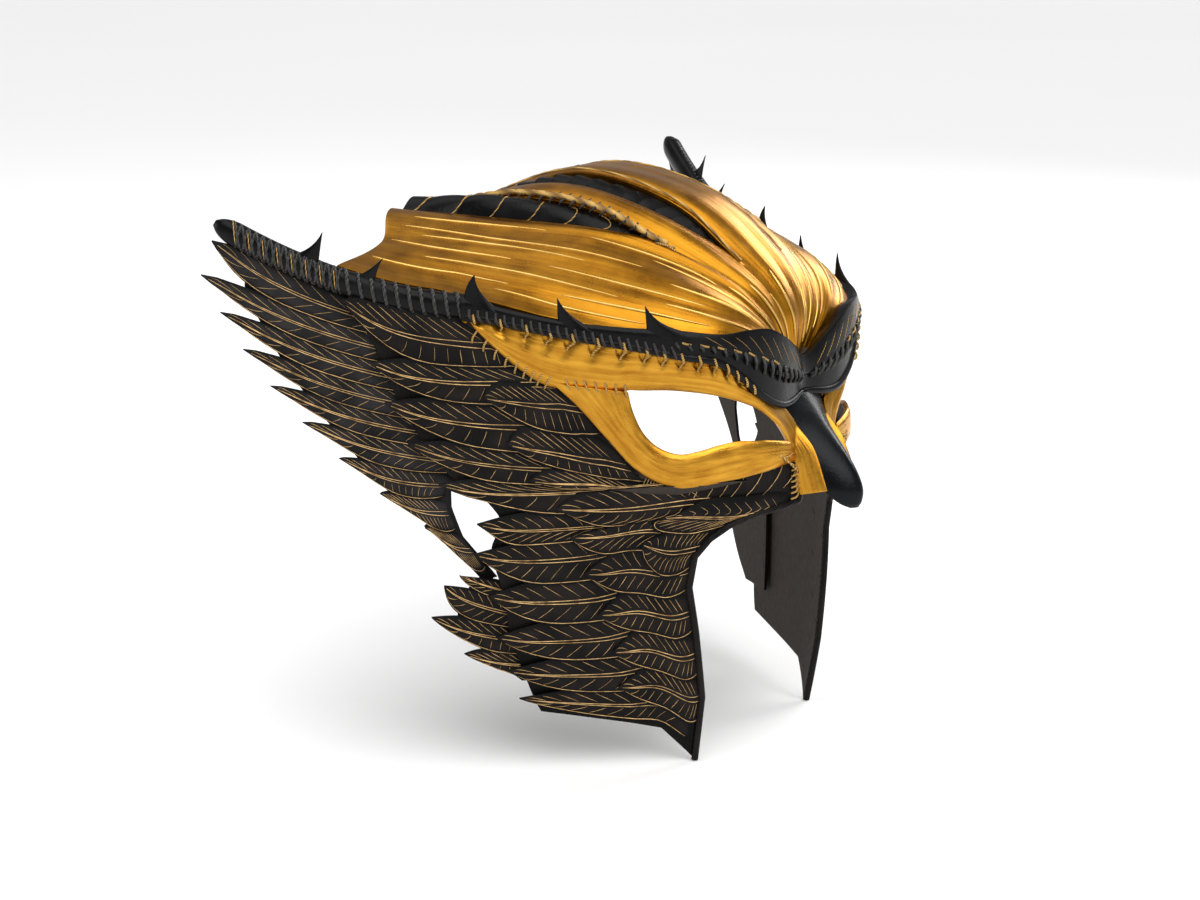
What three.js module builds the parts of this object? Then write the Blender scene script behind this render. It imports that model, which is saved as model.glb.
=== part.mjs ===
// A bird of prey mask of moulded leather, gold and black, worn over the head like an open helmet.
// Each piece is a flat pattern cut from leather and bent over a head form, and the left pieces
// mirror the right ones. Millimetres, +Z up, the face looks along -Y, the wearer's right is -X.
// The origin is the seat at the top of the head, under the crown.

import * as THREE from 'three';
import { mergeVertices } from 'three/addons/utils/BufferGeometryUtils.js';

// The head form
const HEAD_TOP = 106;           // from eye level up to the seat
const HEAD_HALF_WIDTH = 84;
const HEAD_HALF_DEPTH = 96;
const JAW_DEPTH = 130;          // from eye level down to the jaw
const JAW_NARROWING = 0.14;     // share of the width lost at the jaw
const JAW_RETREAT = 0.12;       // share of the depth lost at the jaw
const FLARE = THREE.MathUtils.degToRad(36);   // how far the wings turn out from straight back

// The leather and its seams
const LEATHER = 2.4;
const ROLL_THICKNESS = 6;
const ROLL_HALF_HEIGHT = 6.5;
const SEAM = 0.6;               // between pieces that meet edge to edge
const LAYER_GAP = 0.6;          // between pieces that lie on each other
const UNDER = LEATHER + LAYER_GAP;

// How finely the bent leather is faceted
const FACE_STEP = 10;           // round the face
const FLAT_STEP = 44;           // where the wings run straight
const CROWN_STEP = { u: 0.14, v: 0.1 };
const STEP = 1e-3;              // for slopes

const GOLD = { color: 0xc8922a, roughness: 0.35, metalness: 0.85 };
const BLACK = { color: 0x17130f, roughness: 0.45, metalness: 0 };
const FEATHER_BLACK = { color: 0x221a12, roughness: 0.55, metalness: 0 };

const mask = new THREE.Group();
mask.name = 'bird_mask';

// The side of the head: q is the way round from the middle of the face, z the height over eye
// level, stand the distance out from the form. Past the temple the wings leave it straight.
const leaveAngle = Math.atan2(HEAD_HALF_WIDTH, HEAD_HALF_DEPTH * Math.tan(FLARE));
const faceArc = new THREE.EllipseCurve(
  0, 0, HEAD_HALF_WIDTH, HEAD_HALF_DEPTH, -Math.PI / 2, -Math.PI / 2 - leaveAngle, true);
const FACE_ARC_LENGTH = faceArc.getLength();

function onSide(q, z, stand) {
  const along = THREE.MathUtils.clamp(q, 0, FACE_ARC_LENGTH);
  const plan = faceArc.getPointAt(along / FACE_ARC_LENGTH);
  const tangent = faceArc.getTangentAt(along / FACE_ARC_LENGTH);
  plan.addScaledVector(tangent, q - along);
  const drop = (Math.min(z, 0) / JAW_DEPTH) ** 2;
  return new THREE.Vector3(
    plan.x * (1 - JAW_NARROWING * drop) - tangent.y * stand,
    plan.y * (1 - JAW_RETREAT * drop) + tangent.x * stand,
    z - HEAD_TOP);
}

// A smooth line through rows of q, z and stand, or of x, y and z
function rail(rows) {
  return new THREE.CatmullRomCurve3(rows.map((row) => new THREE.Vector3(...row)), false, 'catmullrom');
}

// A smooth value through rows of place and value, the places rising
function profile(rows) {
  const places = rows.map((row) => row[0]);
  const values = rows.map((row) => row[1]);
  const curve = new THREE.CubicInterpolant(places, values, 1);
  return (place) => curve.evaluate(place)[0];
}

// Bends a flat pattern over a surface. The pattern lies in X and Y with its thickness along Z,
// and an edge is halved while its reach, as given by the piece, is over 1.
function mould(pattern, surface, reach, mirrored) {
  const bend = (point) => {
    const here = surface(point.x, point.y);
    const alongX = surface(point.x + STEP, point.y).sub(surface(point.x - STEP, point.y));
    const alongY = surface(point.x, point.y + STEP).sub(surface(point.x, point.y - STEP));
    return here.addScaledVector(alongY.cross(alongX).normalize(), point.z);
  };
  const flat = pattern.index ? pattern.toNonIndexed() : pattern;
  const corners = flat.getAttribute('position');
  const waiting = [];
  for (let i = 0; i < corners.count; i += 3) {
    waiting.push([0, 1, 2].map((k) => new THREE.Vector3().fromBufferAttribute(corners, i + k)));
  }
  const positions = [];
  while (waiting.length > 0) {
    const [a, b, c] = waiting.pop();
    const reaches = [reach(a, b), reach(b, c), reach(c, a)];
    const longest = Math.max(...reaches);
    if (longest > 1) {
      const [p, r, s] = [[a, b, c], [b, c, a], [c, a, b]][reaches.indexOf(longest)];
      const half = p.clone().add(r).multiplyScalar(0.5);
      waiting.push([p, half, s], [half, r, s]);
    } else {
      const side = mirrored ? -1 : 1;
      for (const corner of mirrored ? [a, b, c] : [a, c, b]) {
        const point = bend(corner);
        positions.push(side * point.x, point.y, point.z);
      }
    }
  }
  const geometry = new THREE.BufferGeometry();
  geometry.setAttribute('position', new THREE.Float32BufferAttribute(positions, 3));
  const welded = mergeVertices(geometry, 2e-3);
  welded.computeVertexNormals();
  return welded;
}

// The reach of an edge on the side of the head, on the crown, and on a strip that is fine enough
function sideReach(a, b) {
  const round = Math.abs(Math.min(a.x, FACE_ARC_LENGTH) - Math.min(b.x, FACE_ARC_LENGTH));
  return Math.max(round / FACE_STEP, Math.hypot(a.x - b.x, a.y - b.y) / FLAT_STEP);
}

function crownReach(a, b) {
  return Math.max(Math.abs(a.x - b.x) / CROWN_STEP.u, Math.abs(a.y - b.y) / CROWN_STEP.v);
}

const noReach = () => 0;

// A pattern cut to an outline, and a pattern that is a plain strip from 0 to 1 both ways
function cutPattern(outline, thickness = LEATHER) {
  const shape = new THREE.Shape(outline.map(([x, y]) => new THREE.Vector2(x, y)));
  return new THREE.ExtrudeGeometry(shape, { depth: thickness, bevelEnabled: false });
}

function stripPattern(lengthSteps, widthSteps) {
  const strip = new THREE.BoxGeometry(1, 1, LEATHER, lengthSteps, widthSteps, 1);
  return strip.translate(0.5, 0.5, LEATHER / 2);
}

function addPiece(name, pattern, surface, reach, finish, mirrored = false) {
  const bent = mould(pattern, surface, reach, mirrored);
  const mesh = new THREE.Mesh(bent, new THREE.MeshStandardMaterial(finish));
  mesh.name = name;
  mask.add(mesh);
}

function addPair(name, pattern, surface, reach, finish) {
  addPiece(`${name}_right`, pattern, surface, reach, finish);
  addPiece(`${name}_left`, pattern, surface, reach, finish, true);
}

// A strip between a lower and an upper rail on the side of the head
function between(lower, upper) {
  return (along, across) => {
    const place = lower.getPoint(THREE.MathUtils.clamp(along, 0, 1));
    place.lerp(upper.getPoint(THREE.MathUtils.clamp(along, 0, 1)), across);
    return onSide(place.x, place.y, place.z);
  };
}

// Points along part of a rail, moved aside by a gap on the left of its run
function edgeAlong(line, from, to, count, gap) {
  const points = [];
  for (let i = 0; i <= count; i++) {
    const share = THREE.MathUtils.lerp(from, to, i / count);
    const place = line.getPoint(share);
    const way = line.getTangent(share).multiplyScalar(Math.sign(to - from));
    way.setZ(0).normalize();
    points.push([place.x - gap * way.y, place.y + gap * way.x]);
  }
  return points;
}

// The eye level rails, each row q, z, stand, from the nose to the temple
const BROW_EDGE = [
  [1.4, 21.5], [24, 20.6], [37, 27], [46, 35], [56, 42], [70, 45.5], [86, 49], [109, 53], [130, 57],
  [154, 61]];
const browStand = profile([
  [0, -10], [14, -6], [26, -2], [42, 2.5], [62, 6.5], [84, 7.5], [115, 6], [158, 2.5]]);
const BROW_OVERLAP = 1.2;        // how far the lid runs up under the brow
const LID_TUCK = 0.3;
const noseTop = [[10.4, -15, 9], [11.2, 0, 3], [14, 11, -4.5]];
const browTop = BROW_EDGE.slice(1).map(([q, z]) => [q, z + BROW_OVERLAP, browStand(q) - UNDER - LID_TUCK]);
const lidTop = rail([...noseTop, ...browTop]);
const lidLow = rail([
  [14, -17, -2], [16, -8, -2], [18, -1, -2], [23, 8, -2], [31, 16, -1], [41, 23.5, 0], [55, 29, 0],
  [72, 32, 0], [90, 32.5, 0], [117, 36, 0], [132, 43, 0], [152, 58, 0]]);
const LID_SEAM_END = 9 / 11;     // share of the upper lid's lower edge where the lower lid ends

const eyeLow = rail([
  [24, 6.6, -1], [36, 9, 0], [45, 10, 0], [54, 9, 0], [62, 7, 0], [70, 6, 0], [78, 9, 0], [84, 15, 0],
  [88, 23.5, 0], [90, 31.4, 0]]);
const cheekTop = rail([
  [19.5, -2, -1.5], [30, -2, 0], [40, -3, 0], [50, -4.4, 0], [62, -6, 0], [73, -6, 0], [86, 1, 0],
  [97, 13, 0], [107, 25, 0], [116.6, 34.9, 0]]);

addPair('upper_lid', stripPattern(22, 2), between(lidLow, lidTop), noReach, GOLD);
addPair('lower_lid', stripPattern(18, 2), between(cheekTop, eyeLow), noReach, GOLD);

// The brow: a black leaf laid over the seam of lid and crown, with upturned points on its upper edge
const BROW_CREST = [[1.4, 38], [12, 43.5], [22, 49], [33, 54], [43, 55], [54, 54]];
const BROW_POINTS = [
  { root: [72, 58], tip: [84, 67], notch: [82, 57] },
  { root: [106, 60], tip: [118, 70], notch: [116.5, 60.5] },
  { root: [138, 66], tip: [150, 79], notch: [153, 70.5] }];
const browCrest = [...BROW_CREST, ...BROW_POINTS.flatMap(({ root, tip, notch }) => [root, tip, notch])];
const browOutline = [...BROW_EDGE, ...browCrest.reverse()];
addPair('brow', cutPattern(browOutline), (q, z) => onSide(q, z, browStand(q)), sideReach, BLACK);

// The rolled edge of the wing, from the brow to the wing tip, with two upturned points
const ROLL_START = 154.8;
const ROLL_END = 250;
const ROLL_TIP_LENGTH = 8;
const ROLL_POINTS = [
  { foot: 190, tip: 185.5, root: 201, rise: 8 },
  { foot: 211.5, tip: 208.5, root: 226, rise: 11 }];
const rollHeight = (q) => 64 + 0.089 * (q - 155) + 0.00277 * (q - 155) ** 2;
const rollLow = (q) => [q, rollHeight(q) - ROLL_HALF_HEIGHT];
const rollTop = (q) => [q, rollHeight(q) + ROLL_HALF_HEIGHT];

// Points just under the roll, where the leather below it hangs
function underRoll(from, to, steps) {
  return Array.from({ length: steps + 1 }, (_, i) => {
    const q = THREE.MathUtils.lerp(from, to, i / steps);
    return [q, rollHeight(q) - ROLL_HALF_HEIGHT - SEAM];
  });
}

const rollOutline = [ROLL_START, 172, 190, 207, 221, 232, ROLL_END - ROLL_TIP_LENGTH].map(rollLow);
rollOutline.push([ROLL_END, rollHeight(ROLL_END) + 1]);
rollOutline.push([ROLL_END - 5, rollHeight(ROLL_END) + 5], rollTop(230));
for (const { foot, tip, root, rise } of [...ROLL_POINTS].reverse()) {
  rollOutline.push(rollTop(root), [tip, rollTop(foot)[1] + rise], rollTop(foot));
}
rollOutline.push(rollTop(ROLL_START));
const onRoll = (q, z) => onSide(q, z, -ROLL_THICKNESS / 2);
addPair('wing_roll', cutPattern(rollOutline, ROLL_THICKNESS), onRoll, sideReach, BLACK);

// Feather tips along a rear edge: tip k lies back and down from the first, with a notch over it
function featherEdge({ count, tip, fall, retreat, bend, notchDepth, notchEase, notchDrop }) {
  const points = [];
  for (let k = 0; k < count; k++) {
    const q = tip[0] - retreat * k - bend * k * k;
    const z = tip[1] - fall * k;
    points.push([q - notchDepth + notchEase * k, z + notchDrop], [q, z]);
  }
  return points;
}

// The wing: a feathered layer behind the cheek, hung from the roll
const WING_FEATHERS = {
  count: 8, tip: [256, 81], fall: 15.2, retreat: 5.5, bend: 1,
  notchDepth: 14, notchEase: 1.2, notchDrop: 3 };
const wingRear = featherEdge(WING_FEATHERS).slice(1);
const WING_TOP_CORNER = [249, 88];
const WING_FOOT = [150, -47];
const WING_FRONT = [[143, -45], [150, -36], [157, -26], [161, -13], [159, -4], [144, 0], [150, 30]];
const wingOutline = [
  ...underRoll(156, ROLL_END - 10, 6), WING_TOP_CORNER, ...wingRear, WING_FOOT, ...WING_FRONT];
addPair('wing', cutPattern(wingOutline), (q, z) => onSide(q, z, -UNDER), sideReach, FEATHER_BLACK);

// The cheek: from the lids and the roll down to the jaw, with feather tips along its rear edge
const CHEEK_FEATHERS = {
  count: 5, tip: [192, 47], fall: 17, retreat: 4, bend: 1.6, notchDepth: 13, notchEase: 0, notchDrop: 2 };
const CHEEK_JAW_TIPS = [
  [141, -27], [152, -33], [140, -46], [134, -60], [145, -70], [131, -76], [141, -85], [128, -89]];
const CHEEK_BOTTOM = [[137, -100], [113, -105], [89, -108.5], [75, -111], [61, -126]];
const CHEEK_FRONT = [
  [57, -125], [57.5, -98], [61.5, -70], [65, -50], [63, -37], [57, -30], [49, -25], [38, -21.5],
  [17.5, -19]];
const cheekOutline = [
  [17.5, -3], ...edgeAlong(cheekTop, 0.02, 0.985, 18, -SEAM),
  ...edgeAlong(lidLow, LID_SEAM_END + 0.012, 0.985, 6, -SEAM),
  ...underRoll(156, 204, 4),
  ...featherEdge(CHEEK_FEATHERS), ...CHEEK_JAW_TIPS, ...CHEEK_BOTTOM, ...CHEEK_FRONT];
addPair('cheek', cutPattern(cheekOutline), (q, z) => onSide(q, z, 0), sideReach, FEATHER_BLACK);

// A short feathered layer behind the lower cheek
const JAW_FEATHERS = [
  [120, -52], [138, -51], [163, -45], [156, -58], [171, -61], [152, -73], [157, -79], [141, -88],
  [126, -94], [114, -90]];
addPair('jaw_feathers', cutPattern(JAW_FEATHERS), (q, z) => onSide(q, z, -UNDER), sideReach, FEATHER_BLACK);

// The beak: level sections down the nose, each with its half width, seam depth and ridge depth
const BEAK_ROWS = [
  { z: 19.6, half: 18, seam: 88.5, ridge: 91.5 }, { z: 11, half: 11.4, seam: 93.5, ridge: 98.5 },
  { z: 0, half: 10.6, seam: 100.5, ridge: 108 }, { z: -8, half: 10.2, seam: 104.5, ridge: 114 },
  { z: -15, half: 9.4, seam: 108, ridge: 117 }, { z: -22, half: 3.5, seam: 113, ridge: 115.5 }];
const beakSeam = rail(BEAK_ROWS.map(({ z, half, seam }) => [half, -seam, z]));
const beakRidge = rail(BEAK_ROWS.map(({ z, ridge }) => [0, -ridge, z]));
const RIDGE_ROUNDNESS = 1.7;
function onBeak(across, up) {
  const share = THREE.MathUtils.clamp(1 - up, 0, 1);
  const seam = beakSeam.getPoint(share);
  const ridge = beakRidge.getPoint(share);
  const side = 2 * across - 1;
  const depth = THREE.MathUtils.lerp(ridge.y, seam.y, Math.abs(side) ** RIDGE_ROUNDNESS);
  return new THREE.Vector3(-side * seam.x, depth + LEATHER, ridge.z - HEAD_TOP);
}
addPiece('beak', stripPattern(10, 12), onBeak, noReach, BLACK);

// The crown: five rails from the bridge of the nose to the back, in rows of x, y and z over eye level,
// placed across by u: 0 at the middle, 1 at the brow and the roll
const CROWN_RAILS = [
  { u: 0,
    rows: [[0, -82.4, 31], [0, -83.6, 56], [0, -69, 77.5], [0, -38, 98.5], [0, 12, 106.5], [0, 62, 90]] },
  { u: 0.35,
    rows: [[-1.2, -82.4, 31], [-17, -80, 57], [-29, -61, 75.5], [-37, -22, 93.5], [-41, 18, 99],
      [-46, 62, 91]] },
  { u: 0.5,
    rows: [[-1.8, -82.4, 31.2], [-22, -79, 57], [-34, -57, 76], [-46, -22, 87.5], [-59, 20, 91],
      [-76, 61, 94]] },
  { u: 0.75,
    rows: [[-2.6, -82.4, 31.4], [-33, -83, 53], [-56, -63, 65], [-71, -25, 74], [-87, 13, 79],
      [-104, 47, 84]] }];
const CROWN_Q = [4, 44, 84, 124, 164, 204];
const CROWN_EDGE_LIFT = 4.5;     // over the middle of the roll
const CROWN_BROW_TUCK = 1.5;     // further in than a layer, since the crown leans back
const CROWN_ROLL_TUCK = 0.8;
const edgeHeight = profile([[0, 29], [24, 40], [44, 46], [84, 53], [124, 60.5], [150, 66]]);
const behindRoll = -ROLL_THICKNESS / 2 - UNDER - CROWN_ROLL_TUCK;
const crownEdge = CROWN_Q.map((q) => {
  const underBrow = q < ROLL_START;
  const height = underBrow ? edgeHeight(q) : rollHeight(q) + CROWN_EDGE_LIFT;
  const stand = underBrow ? browStand(q) - UNDER - CROWN_BROW_TUCK : behindRoll;
  return onSide(q, height, stand).setZ(height).toArray();
});
const crownPlaces = [...CROWN_RAILS.map(({ u }) => u), 1];
const crownRails = [...CROWN_RAILS.map(({ rows }) => rail(rows)), rail(crownEdge)];

function onCrown(u, v) {
  const across = Math.abs(u);
  const points = crownRails.map((line) => line.getPoint(THREE.MathUtils.clamp(v, 0, 1)));
  const found = crownPlaces.findLastIndex((place) => place <= across);
  const i = THREE.MathUtils.clamp(found, 0, crownPlaces.length - 2);
  const slope = (k) => {
    const before = k === 0 ? points[1].clone().multiply(new THREE.Vector3(-1, 1, 1)) : points[k - 1];
    const placeBefore = k === 0 ? -crownPlaces[1] : crownPlaces[k - 1];
    const after = Math.min(k + 1, points.length - 1);
    return points[after].clone().sub(before).divideScalar(crownPlaces[after] - placeBefore);
  };
  const width = crownPlaces[i + 1] - crownPlaces[i];
  const s = (across - crownPlaces[i]) / width;
  const point = points[i].clone().multiplyScalar((1 + 2 * s) * (1 - s) ** 2);
  point.addScaledVector(slope(i), width * s * (1 - s) ** 2);
  point.addScaledVector(points[i + 1], s * s * (3 - 2 * s));
  point.addScaledVector(slope(i + 1), width * s * s * (s - 1));
  return new THREE.Vector3(point.x * Math.sign(u || 1), point.y, point.z - HEAD_TOP);
}

// Each slit runs from a point at the front to the rear edge: inner and outer edge at three depths
const SLITS = [
  { front: [0.185, 0.37], edges: [[0.145, 0.228, 0.55], [0.13, 0.24, 0.75], [0.126, 0.243, 1]] },
  { front: [0.425, 0.42], edges: [[0.378, 0.478, 0.6], [0.366, 0.488, 0.8], [0.36, 0.49, 1]] }];
const rightRear = [...SLITS].reverse().flatMap(({ front, edges }) => {
  const outerEdge = [...edges].reverse().map(([, outer, v]) => [outer, v]);
  const innerEdge = edges.map(([inner, , v]) => [inner, v]);
  return [...outerEdge, front, ...innerEdge];
});
const leftRear = [...rightRear].reverse().map(([u, v]) => [-u, v]);
const crownOutline = [[-1, 0], [1, 0], [1, 1], ...rightRear, ...leftRear, [-1, 1]];
addPiece('crown', cutPattern(crownOutline), onCrown, crownReach, GOLD);

// The black strips under the slits, swelling up through them towards the back
const STRIP_DEPTH = UNDER + 0.3;
const STRIP_OPENING = 0.3;       // share of the strip's width that can swell, each way from its middle
const STRIPS = [
  { name: 'inner_strip', from: 0.105, to: 0.265, start: 0.36, swell: 2 },
  { name: 'outer_strip', from: 0.335, to: 0.515, start: 0.41, swell: 6 }];
for (const { name, from, to, start, swell } of STRIPS) {
  const onStrip = (along, across) => {
    const v = THREE.MathUtils.lerp(start, 1, along);
    const u = THREE.MathUtils.lerp(to, from, across);
    const open = Math.max(0, 1 - ((across - 0.5) / STRIP_OPENING) ** 2) ** 2;
    const rise = swell * open * THREE.MathUtils.smoothstep(along, 0.25, 0.8) - STRIP_DEPTH;
    const alongU = onCrown(u + STEP, v).sub(onCrown(u - STEP, v));
    const alongV = onCrown(u, v - STEP).sub(onCrown(u, v - 2 * STEP));
    return onCrown(u, v).addScaledVector(alongV.cross(alongU).normalize(), rise);
  };
  addPair(name, stripPattern(8, 6), onStrip, noReach, BLACK);
}

export default mask;
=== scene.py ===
from math import atan2, cos, pi, radians, sin, tan

import bpy
import numpy as np
from mathutils import Matrix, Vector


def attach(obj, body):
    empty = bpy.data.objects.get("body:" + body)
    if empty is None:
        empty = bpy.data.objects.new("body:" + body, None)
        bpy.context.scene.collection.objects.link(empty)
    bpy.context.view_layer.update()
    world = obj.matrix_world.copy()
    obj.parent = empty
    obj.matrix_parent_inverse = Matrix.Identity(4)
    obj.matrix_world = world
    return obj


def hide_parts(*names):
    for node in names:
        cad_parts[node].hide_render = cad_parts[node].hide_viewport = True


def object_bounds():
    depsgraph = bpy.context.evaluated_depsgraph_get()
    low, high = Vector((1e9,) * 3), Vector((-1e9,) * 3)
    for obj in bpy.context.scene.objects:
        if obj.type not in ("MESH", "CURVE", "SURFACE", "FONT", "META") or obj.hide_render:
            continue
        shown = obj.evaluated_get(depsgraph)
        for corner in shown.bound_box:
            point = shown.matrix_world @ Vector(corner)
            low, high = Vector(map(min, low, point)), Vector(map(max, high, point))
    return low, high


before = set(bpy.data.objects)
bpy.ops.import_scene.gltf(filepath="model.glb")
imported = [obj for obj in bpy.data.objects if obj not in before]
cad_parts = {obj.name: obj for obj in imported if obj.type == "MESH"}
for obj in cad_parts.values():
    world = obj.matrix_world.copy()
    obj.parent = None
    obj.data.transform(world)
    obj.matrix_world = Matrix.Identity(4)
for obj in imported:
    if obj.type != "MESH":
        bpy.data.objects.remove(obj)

cad_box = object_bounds()

# The wings are the layer behind each cheek: leather feathers cut from one dark hide, their quills, barbs
# and edges tooled with a swivel knife and rubbed with gold, on a backing sheet that hangs under the
# rolled edge. The feathers lie over each other like shingles and their points make the rear edge.
MM = 0.001                       # the mask's sizes are in millimetres, the studio's in metres
HEAD_TOP = 106                   # from eye level up to the seat
HEAD_HALF_WIDTH = 84
HEAD_HALF_DEPTH = 96
JAW_DEPTH = 130                  # from eye level down to the jaw
JAW_NARROWING = 0.14
JAW_RETREAT = 0.12
FLARE = radians(36)              # how far the wings turn out from straight back
LEATHER = 2.4
LAYER_GAP = 0.6
UNDER = LEATHER + LAYER_GAP

turn = np.linspace(0, atan2(HEAD_HALF_WIDTH, HEAD_HALF_DEPTH * tan(FLARE)), 400)
round_face = np.stack([-HEAD_HALF_WIDTH * np.sin(turn), -HEAD_HALF_DEPTH * np.cos(turn)], -1)
face_steps = np.linalg.norm(np.diff(round_face, axis=0), axis=1)
face_way = np.concatenate([[0], np.cumsum(face_steps)])


def on_side(q, z, stand):
    """The side of the form that the leather is moulded over. q is the way round from mid face, on an
    ellipse as far as the temple and then straight along its tangent. z is the height over eye level, below
    which the form narrows with the square of the depth. stand is the distance out, square to the plan."""
    q, z, stand = np.broadcast_arrays(q, z, stand)
    angle = np.interp(q, face_way, turn)
    tangent_x = -HEAD_HALF_WIDTH * np.cos(angle)
    tangent_y = HEAD_HALF_DEPTH * np.sin(angle)
    length = np.hypot(tangent_x, tangent_y)
    tangent_x, tangent_y = tangent_x / length, tangent_y / length
    past = q - np.clip(q, 0, face_way[-1])
    drop = (np.minimum(z, 0) / JAW_DEPTH) ** 2
    x = -HEAD_HALF_WIDTH * np.sin(angle) + past * tangent_x
    y = -HEAD_HALF_DEPTH * np.cos(angle) + past * tangent_y
    return np.stack([
        x * (1 - JAW_NARROWING * drop) - tangent_y * stand,
        y * (1 - JAW_RETREAT * drop) + tangent_x * stand,
        z - HEAD_TOP], -1)


def bent(flat, stand):
    """A flat pattern, as pairs of q and z, bent over the form."""
    return on_side(flat[..., 0], flat[..., 1], stand)


def path_on(surface, *place):
    """A path on a surface whose last number is a height, and the way out from each point of the path: the
    step to the same place one millimetre higher."""
    *where, height = place
    path = surface(*where, height)
    return path, surface(*where, height + 1) - path


def unit(directions):
    """Directions brought to length 1."""
    return directions / np.linalg.norm(directions, axis=-1, keepdims=True)


def cubic(start, start_slope, end, end_slope, s):
    """The cubic over s from 0 to 1 that has these values and slopes at its ends."""
    return (start * (1 + 2 * s) * (1 - s) ** 2 + start_slope * s * (1 - s) ** 2
            + end * s * s * (3 - 2 * s) + end_slope * s * s * (s - 1))


def rail(rows):
    """A smooth line through rows of numbers, walked by a share from 0 to 1: each span is a cubic whose end
    slopes are half the step between the rows on either side."""
    points = np.array(rows, float)
    ends = [2 * points[0] - points[1]], [2 * points[-1] - points[-2]]
    points = np.concatenate([ends[0], points, ends[1]])
    spans = len(points) - 3

    def at(share):
        place = np.clip(np.asarray(share, float), 0, 1) * spans
        span = np.minimum(place.astype(int), spans - 1)
        before, start, end, after = (points[span + k] for k in range(4))
        return cubic(start, (end - before) / 2, end, (after - start) / 2, (place - span)[..., None])

    return at


def walk(points, shares=None):
    """A line of straight runs through points, walked by length, or by the share given for each point."""
    points = np.array(points, float)
    if shares is None:
        steps = np.linalg.norm(np.diff(points, axis=0), axis=1)
        shares = np.concatenate([[0], np.cumsum(steps)]) / steps.sum()
    return lambda share: np.stack([np.interp(share, shares, column) for column in points.T], -1)


def patch(top, bottom, front, rear):
    """A sheet that fills four edge lines: the front to rear blend plus the top to bottom blend, less the
    blend of the four corners. s runs from front to rear and t from top to bottom."""
    def at(s, t):
        s, t = np.broadcast_arrays(s, t)
        a, b = s[..., None], t[..., None]
        across = (1 - a) * front(t) + a * rear(t)
        down = (1 - b) * top(s) + b * bottom(s)
        high = (1 - a) * top(0) + a * top(1)
        low = (1 - a) * bottom(0) + a * bottom(1)
        return across + down - (1 - b) * high - b * low

    return at


def grid(points, place=0.0):
    """Four-cornered faces over grids of points. The last axes are rows, columns and x, y, z, and an axis
    before them numbers separate grids. place is what a finish reads at each point."""
    rows, columns = points.shape[-3:-1]
    number = np.arange(points.size // 3).reshape(-1, rows, columns)
    corners = [number[:, :-1, :-1], number[:, :-1, 1:], number[:, 1:, 1:], number[:, 1:, :-1]]
    return {"points": points.reshape(-1, 3), "faces": [np.stack(corners, -1).reshape(-1, 4)],
            "place": np.broadcast_to(place, points.shape).reshape(-1, 3)}


def tube(points):
    """Closed rings of points joined along their way, with both ends shut. The axes are tubes, stations,
    corners and x, y, z."""
    stations, corners = points.shape[1:3]
    number = np.arange(points.size // 3).reshape(-1, stations, corners)
    turned = np.roll(number, -1, axis=2)
    walls = np.stack([number[:, :-1], number[:, 1:], turned[:, 1:], turned[:, :-1]], -1)
    along = np.broadcast_to(np.linspace(0, 1, stations)[:, None], points.shape[:3])
    around = np.broadcast_to(np.linspace(0, 1, corners), points.shape[:3])
    return {"points": points.reshape(-1, 3), "place": np.stack([along, around, along], -1).reshape(-1, 3),
            "faces": [walls.reshape(-1, 4), number[:, 0], number[:, -1, ::-1]]}


def carry(profile, path, out, size):
    """A closed profile carried along paths: at each station its first coordinate lies square to the path
    and to out, its second along out, both times size. The last axes of path are stations and x, y, z."""
    path = path.reshape(-1, *path.shape[-2:])
    out = np.broadcast_to(out.reshape(-1, *out.shape[-2:]), path.shape)
    side = unit(np.cross(np.gradient(path, axis=1), out))
    size = np.broadcast_to(size, path.shape[:2])[..., None, None]
    offsets = profile[:, :1] * side[:, :, None] + profile[:, 1:] * out[:, :, None]
    return tube(path[:, :, None] + size * offsets)


def join(*shapes):
    """Several shapes as one, with the later ones' corners numbered on from the earlier."""
    starts = np.cumsum([0] + [len(shape["points"]) for shape in shapes])
    return {"points": np.concatenate([shape["points"] for shape in shapes]),
            "place": np.concatenate([shape["place"] for shape in shapes]),
            "faces": [block + start for shape, start in zip(shapes, starts) for block in shape["faces"]]}


def make(name, shape, *finishes, mirrored=False):
    """A shape as a new object in metres. A mirrored one is turned over in x, and its faces with it."""
    mesh = bpy.data.meshes.new(name)
    points = shape["points"] * (-MM if mirrored else MM, MM, MM)
    faces = [face for block in shape["faces"] for face in block[:, ::-1 if mirrored else 1].tolist()]
    mesh.from_pydata(points.tolist(), [], faces, shade_flat=False)
    place = mesh.attributes.new("place", "FLOAT_VECTOR", "POINT")
    place.data.foreach_set("vector", shape["place"].astype(np.float32).ravel())
    for finish in finishes:
        mesh.materials.append(finish.material)
    piece = bpy.data.objects.new(name, mesh)
    bpy.context.scene.collection.objects.link(piece)
    return piece


def pair(name, shape, *finishes):
    """The right piece as given and the left one mirrored, each with the name of its side."""
    for side, mirrored in (("right", False), ("left", True)):
        yield make(f"{name}_{side}", shape, *finishes, mirrored=mirrored), side


def wall(piece, thickness, edge):
    """Gives a sheet its thickness inwards, with the second finish inside, and rounds its edges."""
    solid = piece.modifiers.new("thickness", "SOLIDIFY")
    solid.thickness = thickness * MM
    solid.offset = -1
    solid.material_offset = 1
    rounded = piece.modifiers.new("edge", "BEVEL")
    rounded.width = edge * MM
    rounded.segments = 2
    rounded.limit_method = "ANGLE"
    rounded.angle_limit = radians(50)


def fit_leather(name, shape, finish, thickness, edge):
    """A pair of leather pieces, raw inside, in place of the two solids of that name."""
    for piece, side in pair(name, shape, finish, raw_leather):
        wall(piece, thickness, edge)
        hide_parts(f"{name}_{side}")
        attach(piece, "root")


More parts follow.
